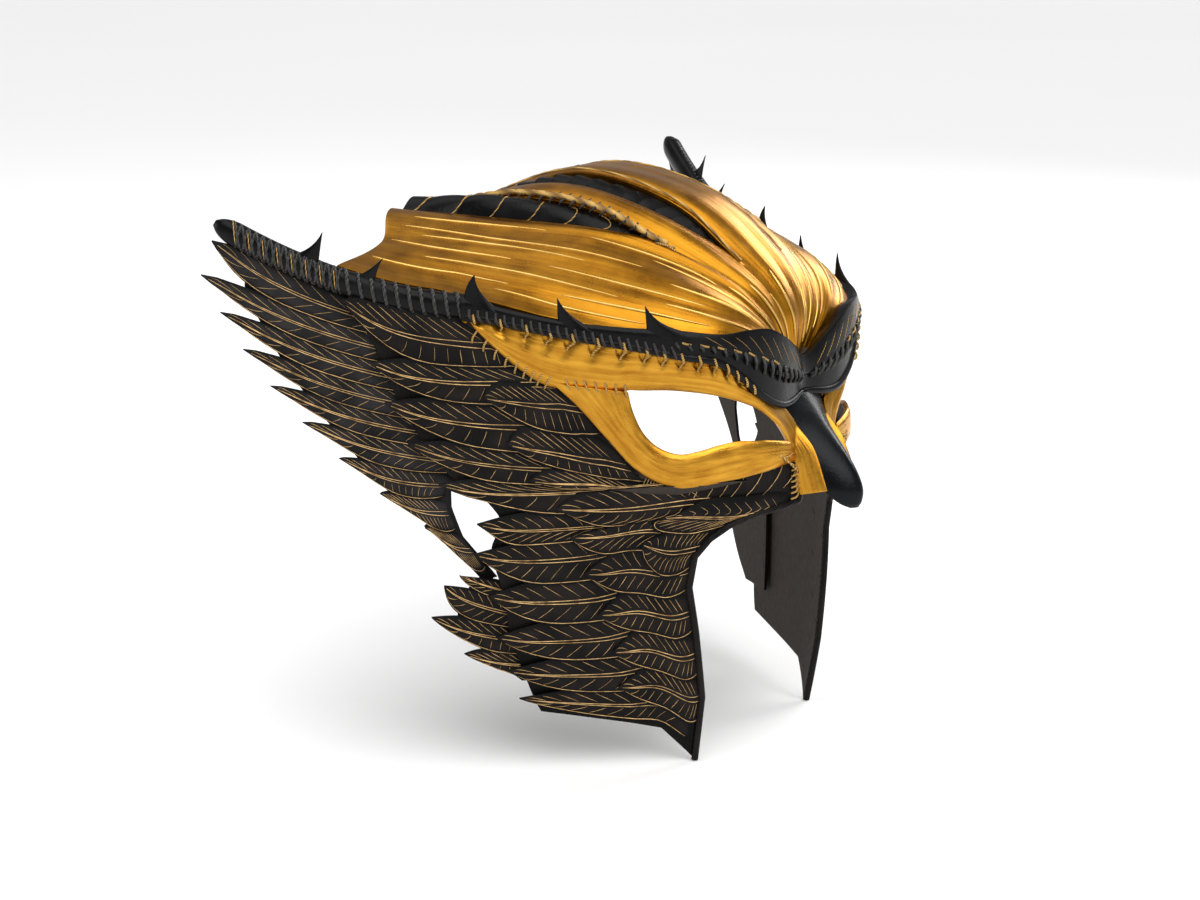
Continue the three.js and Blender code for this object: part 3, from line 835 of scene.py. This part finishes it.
def on_crown(u, v):
    """The crown over u, from -1 at the left brow to 1 at the right one, and v from front to back. Rails
    give the points at each v, and a cubic joins them across u. Its slope at a rail comes from the steps on
    both sides, the nearer one counting more."""
    u, v = np.broadcast_arrays(u, v)
    points = np.stack([line(v) for line in crown_rails])
    mirrored = points[1:2] * (-1, 1, 1)
    gaps = np.diff(crown_places, prepend=-crown_places[1]).reshape(-1, *[1] * (points.ndim - 1))
    chords = np.diff(np.concatenate([mirrored, points]), axis=0) / gaps
    slopes = (chords[:-1] * gaps[1:] + chords[1:] * gaps[:-1]) / (gaps[:-1] + gaps[1:])
    slopes = np.concatenate([slopes, chords[-1:]])
    across = np.abs(u)
    i = np.clip(np.searchsorted(crown_places, across, "right") - 1, 0, len(crown_places) - 2)
    width = (crown_places[i + 1] - crown_places[i])[..., None]
    s = ((across - crown_places[i])[..., None]) / width

    def pick(values, index):
        return np.take_along_axis(values, index[None, ..., None], 0)[0]

    point = cubic(
        pick(points, i), pick(slopes, i) * width, pick(points, i + 1), pick(slopes, i + 1) * width, s)
    flip = np.stack([np.where(u < 0, -1.0, 1.0), np.ones(u.shape), np.ones(u.shape)], -1)
    return point * flip - (0, 0, HEAD_TOP)


def over_crown(u, v, height):
    """Points over the crown's inside face, along normals taken over wide steps so that they turn slowly."""
    return raised(on_crown, u, v, height, nudge=0.04)


def slit_edges(slit):
    """The inner and outer edge of a slit over v: together up to its front point, then apart."""
    front_u, front_v = slit["front"]
    inner = profile([(front_v, front_u)] + [(v, inner) for inner, outer, v in slit["edges"]])
    outer = profile([(front_v, front_u)] + [(v, outer) for inner, outer, v in slit["edges"]])
    return inner, outer


# how close each fold's waves lie across u, where they start, and how they drift along v
waves = chance.uniform((9, 0, -0.6), (34, 2 * pi, 0.6), (FOLDS, 3))


def moulding(u, v):
    """Soft lengthwise folds: cosines across u that drift with v, fading at the front point and the rear."""
    closeness, start, drift = waves.T
    folds = np.cos(np.abs(u)[..., None] * closeness + start + v[..., None] * drift * 6).sum(-1)
    return FOLD_HEIGHT * folds * np.clip(v / 0.25, 0, 1) * np.clip((1.05 - v) / 0.2, 0, 1)


def crown_skin(u, v, height):
    """Points over the crown's folded outer face."""
    return over_crown(u, v, LEATHER + moulding(u, v) + height)


def band(inner, outer, columns):
    """One band of the crown between two edge lines over v. Its edges at slits turn down in a bell curve."""
    v, b = np.meshgrid(np.linspace(0, 1, 130), np.linspace(0, 1, columns), indexing="xy")
    u = inner(v) + (outer(v) - inner(v)) * b
    open_here = np.clip((v - SLIT_OPENING[0]) / SLIT_OPENING[1], 0, 1)
    from_inner = np.where(np.abs(inner(v)) < SLIT_PLACES, b, 1)
    from_outer = np.where(np.abs(outer(v)) < SLIT_PLACES, 1 - b, 1)
    edge_mm = np.minimum(from_inner, from_outer) * np.abs(outer(v) - inner(v)) * CROWN_SPAN[0]
    turned = -TURNED_DOWN * open_here * np.exp(-(edge_mm / TURN_WIDTH) ** 2)
    place = np.stack([np.abs(u) * CROWN_SPAN[0], v * CROWN_SPAN[1], u], -1)
    return grid(crown_skin(u, v, turned), place)


def other_side(line):
    """The same edge line on the left half of the crown."""
    return lambda v: -line(v)


def weld(shape):
    """Corners at the same place become one."""
    rounded = np.round(shape["points"], 4)
    _, kept, number = np.unique(rounded, axis=0, return_index=True, return_inverse=True)
    number = number.ravel()
    return {"points": shape["points"][kept], "place": shape["place"][kept],
            "faces": [number[block] for block in shape["faces"]]}


inner_1, outer_1 = slit_edges(SLITS[0])
inner_2, outer_2 = slit_edges(SLITS[1])
brow_line = np.ones_like
bands = [band(other_side(inner_1), inner_1, 40)]
for inner, outer, columns in ((outer_1, inner_2, 26), (outer_2, brow_line, 70)):
    bands.append(band(inner, outer, columns))
    bands.append(band(other_side(outer), other_side(inner), columns))
gilt_crown = gilt_finish("gilt_crown", (0.3, 0.112, 0.005), (0.56, 0.25, 0.014), 3.2, 55.0, 0.2)
crown = make("crown", weld(join(*bands)), gilt_crown, raw_leather)
wall(crown, LEATHER, CROWN_EDGE)
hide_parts("crown")
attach(crown, "root")

# The lines on the crown are creased into the wet leather with a bone tool and stand as fine ridges. Their
# gold is painted brighter than the skin around, as a painted highlight along each ridge.
CREASES = [
    # u at the front and back, then v at the front and back
    (0.56, 0.55, 0.36, 0.62), (0.6, 0.585, 0.16, 0.5), (0.64, 0.63, 0.5, 0.97), (0.7, 0.68, 0.22, 0.44),
    (0.68, 0.665, 0.6, 0.93), (0.75, 0.745, 0.34, 0.66), (0.74, 0.72, 0.73, 0.985), (0.81, 0.8, 0.2, 0.42),
    (0.82, 0.8, 0.5, 0.9), (0.87, 0.87, 0.3, 0.6), (0.88, 0.86, 0.7, 0.985), (0.5, 0.52, 0.12, 0.34),
    (0.3, 0.31, 0.1, 0.3), (0.2, 0.19, 0.08, 0.26), (0.1, 0.09, 0.1, 0.34),
    (0.93, 0.92, 0.42, 0.72), (0.55, 0.56, 0.7, 0.95)]
CREASE_PROFILE = np.array([[0.95, -0.3], [0.3, 0.5], [-0.3, 0.5], [-0.95, -0.3]])
CREASE_WAVER = 0.006
# a brighter copy of the crown's gilt for the creases: painted highlight along each ridge
painted_highlight_gilt = gilt_finish("painted_highlight_gilt", (0.55, 0.28, 0.035), (0.84, 0.56, 0.16), 3.2, 55.0, 0.2)
front_u, back_u, front_v, back_v = np.array(CREASES).T[..., None]
share = np.linspace(0, 1, 40)
u = front_u + (back_u - front_u) * share + CREASE_WAVER * np.sin(share * 5 + front_u * 40)
v = front_v + (back_v - front_v) * share
u, v = np.concatenate([u, -u]), np.concatenate([v, v])
crease_size = np.sin(pi * share) ** 0.4 + 0.02
creases = carry(CREASE_PROFILE, *path_on(crown_skin, u, v, 0.0), crease_size)
creases = make("crown_creases", creases, painted_highlight_gilt)
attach(creases, "root")

# The strips are black leather glued under the slits, and they swell up through them towards the back. The
# outer one is smooth with gold ribs drawn over it, the inner one is cut in scales.
STRIPS = {
    # u of the inner and the outer edge, v of the front end, and the swell through the slit
    "inner_strip": (0.105, 0.265, 0.36, 2),
    "outer_strip": (0.335, 0.515, 0.41, 6)}
STRIP_DEPTH = UNDER + 0.3
STRIP_OPENING = 0.3
STRIP_RELIEF = 0.4               # of the strip's width on either side of its middle
STRIP_EDGE = 0.5
SCALES = 17
RIBS = np.linspace(0.2, 0.94, 7)


def black_finish(name, dark, light, rough):
    """Black dyed leather with a satin top coat, a fine grain and paler rubbed places."""
    finish = Finish(name)
    hide = finish.object_place()
    grain = finish.noise(hide, 700, 5)
    cloud = finish.stretch(finish.noise(hide, 55, 4), 0.42, 0.72)
    finish.surface(
        Base_Color=finish.blend(cloud, dark, light),
        Roughness=finish.stretch(cloud + grain * 0.5, 0.1, 1.2, rough - 0.08, rough + 0.12),
        Specular_IOR_Level=0.15,
        Normal=finish.bump(grain, 0.3, 0.3))
    return finish


def strip(inner_u, outer_u, start_v, swell):
    """A strip under the crown. a runs back from its front end, b from its outer to its inner edge, and it
    swells through the slit by a bell across b that grows with a."""
    def at(a, b):
        v = start_v + (1 - start_v) * np.clip(a, 0, 1)
        u = outer_u + (inner_u - outer_u) * b
        bell = np.clip(1 - ((b - 0.5) / STRIP_OPENING) ** 2, 0, None) ** 2
        return over_crown(u, v, swell * bell * ease(a, 0.25, 0.8) - STRIP_DEPTH)

    return at


def scales(a, b):
    """Scales that lap back: each rises by a power of the way along it, and its edge curves across b."""
    return 1.3 * ((a * SCALES + 0.7 * (2 * b - 1) ** 2) % 1) ** 1.5


def swellings(a, b):
    """Low swellings between the ribs: a flattened sine along a that curves with the ribs across b."""
    phase = (a - RIBS[0]) / (RIBS[1] - RIBS[0]) - 0.5 * (2 * b - 1) ** 2
    return 0.7 * np.abs(np.sin(pi * phase)) ** 0.6


black_leather = black_finish("black_leather", (0.0012, 0.0012, 0.0015), (0.0055, 0.0054, 0.0058), 0.3)
a, b = np.meshgrid(np.linspace(0, 0.999, 210), np.linspace(0, 1, 30), indexing="ij")
bell = np.clip(1 - ((b - 0.5) / STRIP_RELIEF) ** 2, 0, 1)
for name, relief in (("inner_strip", scales), ("outer_strip", swellings)):
    points = raised(strip(*STRIPS[name]), a, b, LEATHER + relief(a, b) * bell)
    shape = grid(points, np.stack([a, b, a], -1))
    fit_leather(name, shape, black_leather, LEATHER, STRIP_EDGE)

# Fine gold ribs are drawn over the outer strip, and the bands beside the slits are edged with a twisted
# gold cord that dark thread binds down. A crossed stitch closes the outer slit's front.
RIB_LENGTH = 0.34
RIB_BEND = 0.055
RIB_SIZE = 1.3
CORD_RADII = np.array([[1.35], [0.55]])
CORD_STARTS = (0.49, 0.385)
CORD_INSETS = (0.014, 0.008)     # from the slits' edges
CORD_END = 0.995
BINDINGS = 22
BOUND = (0.51, 0.985)            # where along the cord they lie
BINDING_RADIUS = 0.55
PINCH = 0.3
share = np.linspace(-1, 1, 24)
rib_a = RIBS[:, None] + RIB_BEND * share ** 2
rib_b = 0.5 + RIB_LENGTH * share + 0 * rib_a
on_outer_strip = strip(*STRIPS["outer_strip"])
ribs = carry(LINE_PROFILE, *path_on(raised, on_outer_strip, rib_a, rib_b, LEATHER + 0.15), RIB_SIZE)
v = np.stack([np.linspace(start, CORD_END, 120) for start in CORD_STARTS])
u = np.stack([inner_2(v[0]) - CORD_INSETS[0], inner_1(v[1]) - CORD_INSETS[1]])
pinch = 1 - PINCH * np.cos(pi * (v - BOUND[0]) / (BOUND[1] - BOUND[0]) * (BINDINGS - 1)) ** 8
cords = carry(round_profile, *path_on(crown_skin, u, v, 0.2), CORD_RADII * pinch)
cross = arch(
    over_crown(np.array([0.405, 0.443]), np.array([0.475, 0.47]), LEATHER),
    over_crown(np.array([0.45, 0.4]), np.array([0.51, 0.515]), LEATHER), 1.0)
fit_trim("crown_cords", join(ribs, cords, cross), gold_thread)
black_thread = thread_finish("black_thread", (0.004, 0.004, 0.004), (0.02, 0.018, 0.016), 0.38, 0.0)
v = np.linspace(*BOUND, BINDINGS)
u = inner_2(v)
bindings = arch(
    over_crown(u - 0.05, v, LEATHER - 0.2), over_crown(u + 0.016, v + 0.006, LEATHER - 1.6), 2.9,
    BINDING_RADIUS)
fit_trim("crown_bindings", bindings, black_thread)

# The brows are black leather bands over the join of crown and lids: a smooth lower band, a leaf with fine
# cuts lapped over it beside the nose, and three claws cut proud of the upper edge and curled out.
BROW_SPAN = (-0.05, 155.5)
BROW_CREST = [
    (1.4, 38), (12, 43.5), (22, 49), (33, 54), (43, 55), (54, 54.5), (72, 57), (94, 58.5), (116, 61),
    (138, 65.5), (154, 69.5)]
BROW_CLAWS = [                   # root, tip and notch of each
    ((72, 58), (84, 67), (82, 57)), ((106, 60), (118, 70), (116.5, 60.5)),
    ((138, 66), (150, 79), (153, 70.5))]
BROW_CLAW_RUNS = (14, 8, 2)      # how far before its root each leaves the crest
BROW_CLAW_DEPTH = 1.5            # of the claws' feet, under the crest
BROW_DEPTH = 4.8                 # with the filler between the band and the crown
BROW_CUSHION = 1.2
BROW_ROUNDING = 0.4
LEAF_END = 74
LEAF_FADE = 16
LEAF_SEAM = 0.46                 # of the way up the brow
LEAF_LAP = 0.07
LEAF_STEP = 1.3
WELT_SPAN = (0.6, 154.5)
WELT_RADIUS = 1.7
WELT_RISE = 1.0
CLAW_HALF = 1.5                  # of a claw's thickness at its foot
CLAW_THINNING = 0.85
CLAW_CURL = 1.3
CLAW_TIP = 0.15
brow_low = profile(BROW_EDGE)
brow_crest = profile(BROW_CREST)


def on_brow(q, b):
    """The brow's outer face: b runs from its lower edge to its crest. Beside the nose the upper part steps
    out as a lapped leaf, and further back the whole band is a cushion."""
    leaf = np.clip((LEAF_END - q) / LEAF_FADE, 0, 1)
    step = np.clip((b - LEAF_SEAM) / LEAF_LAP, 0, 1)
    lapped = LEAF_STEP * step * (1 - 0.5 * step * np.clip((b - LEAF_SEAM) / (1 - LEAF_SEAM), 0, 1) ** 2)
    z = brow_low(q) + (brow_crest(q) - brow_low(q)) * b
    cushion = belly(b, BROW_CUSHION)
    return on_side(q, z, brow_stand(q) + LEATHER + leaf * lapped + (1 - 0.6 * leaf) * cushion)


def claws(points, runs, low, stand):
    """Claws on a crest. Each lies between a long curve that leaves the crest well before its root and a
    short steep one from its notch, both bent by a middle point. Its section is an ellipse that thins to
    the tip, and it curls out with the square of its rise."""
    root, tip, notch = (np.array(rows, float)[:, None, None] for rows in zip(*points))
    share = np.linspace(0, 1, 24)[None, :, None, None]
    ring = np.linspace(0, 2 * pi, 14, endpoint=False)

    def bend(start, middle, end):
        return start * (1 - share) ** 2 + 2 * middle * share * (1 - share) + end * share ** 2

    facing = np.sign(root[..., :1] - notch[..., :1]) * (1, 0)
    rise = np.array((0, 1))
    run = np.reshape(runs, (-1, 1, 1, 1))
    long_edge = bend(
        root + facing * run - rise * (low + 2.5), notch + facing * 3 + rise * (1.5 - low),
        tip + facing * CLAW_TIP)
    short_edge = bend(
        notch - facing - rise * (low + 2), notch - facing * 1.6 + rise * 3.5, tip - facing * CLAW_TIP)
    half = (short_edge - long_edge) / 2 * facing[..., :1]
    flat = (long_edge + short_edge) / 2 + half * np.cos(ring)[:, None]
    share = share[..., 0]
    thickness = CLAW_HALF * (1 - CLAW_THINNING * share) * np.sin(ring)
    return tube(bent(flat, stand(flat[..., 0]) + CLAW_CURL * share ** 2 + thickness))


q, b = np.meshgrid(np.linspace(*BROW_SPAN, 260), np.linspace(0, 1, 30), indexing="ij")
brow_band = grid(on_brow(q, b), np.stack([q, b, q], -1))
brow_claws = claws(BROW_CLAWS, BROW_CLAW_RUNS, BROW_CLAW_DEPTH, lambda q: brow_stand(q) + LEATHER)
q = np.linspace(*WELT_SPAN, 200)
welt_path = path_on(on_side, q, brow_low(q) + WELT_RISE, brow_stand(q) + LEATHER - 0.2)
welt = carry(round_profile, *welt_path, WELT_RADIUS)
fit_leather("brow", brow_band, black_leather, BROW_DEPTH, BROW_ROUNDING)
fit_trim("brow_claws", brow_claws, black_leather)
fit_trim("brow_welt", welt, black_leather)

# Thread on the brows: gold stitches over the welt draw up the lid, a black lacing binds the lapped leaf and
# whips the welt behind it, and gold stitches run along the leaf's outer half.
STITCH_RADIUS = 0.5
DASH_Q = np.arange(28, 70, 6.5)
DASH_LENGTH = 3.2
CUTS = 9
CUT_Q = np.linspace(7, 55, CUTS)
CUT_SLANT = 7
CUT_SPAN = (LEAF_SEAM + 0.16, 0.9)
LACING_Q = np.arange(5, 72, 4.4)
LACING_SLANT = 1.6
LACING_RADIUS = 0.75
WHIP_Q = np.arange(73, 153, 3.4)
WHIP_RADIUS = 0.7
q = lid_top(stitch_share)[:, 0]
face = brow_stand(q) + LEATHER
stitches = threads([
    on_side(q + 0.8, brow_low(q) + 2.6, face + 1.2), on_side(q + 0.4, brow_low(q) + 0.8, face + 2.1),
    on_side(q, brow_low(q) - 1.0, face + 1.4), on_skin(on_upper_lid, stitch_share, 0.78, 0.9),
    on_skin(on_upper_lid, stitch_share, 0.64, -0.6)], STITCH_RADIUS)
dashes = arch(on_brow(DASH_Q, LEAF_SEAM + 0.1), on_brow(DASH_Q + DASH_LENGTH, LEAF_SEAM + 0.13), 0.5)
share = np.linspace(0, 1, 12)
cut_path = on_brow(CUT_Q[:, None] + CUT_SLANT * share, CUT_SPAN[0] + (CUT_SPAN[1] - CUT_SPAN[0]) * share)
cuts = carry(LINE_PROFILE, cut_path, unit(cut_path * (1, 1, 0)), 0.5 * np.sin(pi * share) ** 0.5 + 0.02)
fit_trim("brow_stitches", join(stitches, dashes, cuts), gold_thread)
lacing = arch(
    on_brow(LACING_Q, LEAF_SEAM - 0.1), on_brow(LACING_Q + LACING_SLANT, LEAF_SEAM + 0.12), 1.0,
    LACING_RADIUS)
low = brow_low(WHIP_Q)
face = brow_stand(WHIP_Q) + LEATHER
whipping = arch(
    on_side(WHIP_Q - 1, low - 0.8, face), on_side(WHIP_Q + 1, low + 4.6, face + 1), 1.6, WHIP_RADIUS)
fit_trim("brow_lacing", join(lacing, whipping), black_thread)

# The wing rolls are the rolled upper edges of the wings: black leather closed round a cord, laced along the
# front half and bound with crossed thread behind, with two claws cut from the rolled edge.
ROLL_SPAN = (148, 250)
ROLL_TIP = 9                     # the length over which it closes at the rear
ROLL_SQUARENESS = 0.8
ROLL_CLAWS = [                   # q of the root, the tip and the notch, and the tip's rise over the roll
    (201, 185.5, 190, 8), (226, 208.5, 211.5, 11)]
ROLL_CLAW_RUNS = (3, 4)
ROLL_CLAW_DEPTH = 0.5
ROLL_CLAW_STAND = 0.6
ROLL_CLAW_FOOT = 3.8             # over the roll's middle
LOOP_Q = np.linspace(156, 199, 10)
CROSS_Q = np.linspace(203, 241, 15)
CROSS_SLANT = 3.4
LOOP_REACH = 0.62 * pi           # around the roll, up and down from its middle
angle = np.linspace(0, 2 * pi, 24, endpoint=False)
roll_profile = np.stack([
    ROLL_HALF_HEIGHT * np.sign(np.cos(angle)) * np.abs(np.cos(angle)) ** ROLL_SQUARENESS,
    ROLL_HALF_THICKNESS * np.sign(np.sin(angle)) * np.abs(np.sin(angle)) ** ROLL_SQUARENESS], -1)
q = np.linspace(*ROLL_SPAN, 150)
closing = np.sqrt(1 - np.clip((q - ROLL_SPAN[1] + ROLL_TIP) / ROLL_TIP, 0, 0.97) ** 2)
opening = np.clip(0.75 + (q - ROLL_SPAN[0]) / 20, 0, 1)
roll = carry(roll_profile, *path_on(on_side, q, roll_height(q), -ROLL_INSET), closing * opening)
for piece, side in pair("wing_roll", roll, black_leather):
    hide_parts(f"wing_roll_{side}")
    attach(piece, "root")
crest = [((root, roll_height(root) + ROLL_CLAW_FOOT), (tip, roll_height(notch) + ROLL_HALF_HEIGHT + rise),
          (notch, roll_height(notch) + ROLL_CLAW_FOOT)) for root, tip, notch, rise in ROLL_CLAWS]
roll_claws = claws(crest, ROLL_CLAW_RUNS, ROLL_CLAW_DEPTH, lambda q: ROLL_CLAW_STAND)
fit_trim("wing_claws", roll_claws, black_leather)


def loops(q, slant, radius):
    """Threads over the roll's outer half. Each follows the roll's section from below to above, and moves
    back along it by slant on the way."""
    share = np.linspace(-1, 1, 15)
    around = share * LOOP_REACH
    q = q[:, None] + slant * share / 2
    z = roll_height(q) + (ROLL_HALF_HEIGHT + 0.1) * np.sin(around)
    path = on_side(q, z, (ROLL_HALF_THICKNESS - 0.5) * np.cos(around) + 0.2)
    out = unit(path - on_side(q, roll_height(q), 0))
    return carry(round_profile, path, out, radius)


crossed = join(loops(CROSS_Q, CROSS_SLANT, 0.55), loops(CROSS_Q, -CROSS_SLANT, 0.55))
fit_trim("roll_lacing", join(loops(LOOP_Q, 3.0, 0.9), crossed), black_thread)
fit_trim("roll_thread", loops(CROSS_Q[::2] + 1.2, 1.5, 0.24), gold_thread)

# The beak is one piece of thick black leather, moulded wet over a form into a hooked ridge and burnished
# smooth. Its top is held under the brows and its sides by the lids.
BEAK_ROWS = [
    # height over eye level, half width, then how far forward its side seams and its ridge stand
    (24, 19, 85.5, 88.5), (11, 11.4, 93.5, 98.5), (0, 10.6, 100.5, 108), (-8, 10.2, 104.5, 114),
    (-15, 9.4, 108, 117), (-20, 6.6, 111.6, 116.6), (-22.6, 2.8, 113.6, 115.2)]
BEAK_ROUND = 1.7
BEAK_UNDER_LIDS = 0.075          # of its width, on each side
BEAK_EDGE = 0.5
beak_rail = rail(BEAK_ROWS)


def on_beak(across, up):
    """The beak's outer face: at each height it runs from the ridge back to both seams with a power of the
    way across."""
    z, half, seam, ridge = np.moveaxis(beak_rail(1 - up), -1, 0)
    side = 2 * across - 1
    y = -ridge + (ridge - seam) * np.abs(side) ** BEAK_ROUND
    return np.stack([-side * half, y, z - HEAD_TOP], -1)


beak_leather = black_finish("beak_leather", (0.0015, 0.0018, 0.0026), (0.006, 0.0066, 0.0085), 0.26)
across, up_beak = np.meshgrid(
    np.linspace(-BEAK_UNDER_LIDS, 1 + BEAK_UNDER_LIDS, 47), np.linspace(0, 1, 60), indexing="ij")
beak_face = grid(on_beak(across, up_beak), np.stack([across, up_beak, across], -1))
beak = make("beak", beak_face, beak_leather, raw_leather)
wall(beak, LEATHER, BEAK_EDGE)
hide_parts("beak")
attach(beak, "root")

# The studio: a pale floor that runs back out of sight, soft light from above and both sides, and a camera
# where the photograph was taken from.
CAMERA_AZIMUTH = radians(-57)
CAMERA_ELEVATION = radians(13)
CAMERA_DISTANCE = 1.2
EYE_LEVEL = -HEAD_TOP * MM
PHOTO_WIDTH = 1200
FOCAL_PIXELS = 2808
AIM_PIXELS = (-20, -30)          # the picture's centre from the point between the eyes, right and up
SENSOR = 36
FLOOR_HALF = 14.0
SKY = 0.32                       # the room's light on the mask
SKY_SEEN = 1.0                   # and as the camera sees it past the floor
SKYLIGHT = 2.3                   # watts on each square metre, from high in front and a little to the right
SKYLIGHT_SPREAD = radians(70)
SKYLIGHT_TIP = radians(27)
SKYLIGHT_LEAN = radians(-20)
LIGHTS = [
    # name, place in metres, width, power in watts
    ("key", (-0.7, -1.5, 0.9), 1.2, 6), ("side", (-1.15, 1.1, 0.35), 0.6, 7),
    ("top", (0.1, 0.5, 1.3), 0.8, 2), ("far", (1.35, -0.2, 0.6), 0.8, 11)]
scene = bpy.context.scene
scene.view_settings.view_transform = "Standard"


def set_up(name, data, right, up, back, place):
    """A camera or a lamp at its place, turned by its right, up and back directions."""
    item = bpy.data.objects.new(name, data)
    item.matrix_world = Matrix([*np.stack([right, up, back, place], -1).tolist(), (0, 0, 0, 1)])
    scene.collection.objects.link(item)
    return item


right = np.array([cos(CAMERA_AZIMUTH), sin(CAMERA_AZIMUTH), 0])
back = np.array([sin(CAMERA_AZIMUTH) * cos(CAMERA_ELEVATION), -cos(CAMERA_AZIMUTH) * cos(CAMERA_ELEVATION),
                 sin(CAMERA_ELEVATION)])
up = np.cross(back, right)
metres_per_pixel = CAMERA_DISTANCE / FOCAL_PIXELS
between_eyes = np.array([0, 0, EYE_LEVEL])
aim = between_eyes + (right * AIM_PIXELS[0] + up * AIM_PIXELS[1]) * metres_per_pixel
camera = set_up("camera", bpy.data.cameras.new("camera"), right, up, back, aim + back * CAMERA_DISTANCE)
camera.data.sensor_width = SENSOR
camera.data.lens = SENSOR * FOCAL_PIXELS / PHOTO_WIDTH
scene.camera = camera

floor_level = cad_box[0][2] / MM
corner = FLOOR_HALF / MM
x, y = np.meshgrid([-corner, corner], [corner, -corner], indexing="ij")
floor_finish = Finish("pale_floor")
shade = floor_finish.noise(floor_finish.object_place(), 0.8, 2)
floor_finish.surface(Base_Color=floor_finish.blend(shade, (0.95, 0.95, 0.95), (1, 1, 1)), Roughness=0.9)
floor = make("floor", grid(np.stack([x, y, np.full(x.shape, floor_level)], -1)), floor_finish)

world = bpy.data.worlds.new("studio")
world.use_nodes = True
room = Nodes(world.node_tree)
seen = room.node("ShaderNodeLightPath", {}, {}, "Is Camera Ray")
strength = room.node("ShaderNodeMapRange", {}, {"Value": seen, "To Min": SKY, "To Max": SKY_SEEN})
background = world.node_tree.nodes["Background"]
room.plug(background.inputs["Color"], (1, 1, 1, 1))
room.plug(background.inputs["Strength"], strength)
scene.world = world
skylight = bpy.data.objects.new("skylight", bpy.data.lights.new("skylight", "SUN"))
skylight.data.energy = SKYLIGHT
skylight.data.angle = SKYLIGHT_SPREAD
skylight.matrix_world = Matrix.Rotation(SKYLIGHT_LEAN, 4, "Y") @ Matrix.Rotation(SKYLIGHT_TIP, 4, "X")
scene.collection.objects.link(skylight)
for name, place, width, power in LIGHTS:
    toward = unit(between_eyes - place)
    level = unit(np.cross(toward, (0, 0, 1)))
    data = bpy.data.lights.new(f"light_{name}", "AREA")
    data.size = width
    data.energy = power
    set_up(f"light_{name}", data, level, np.cross(level, toward), -toward, place)
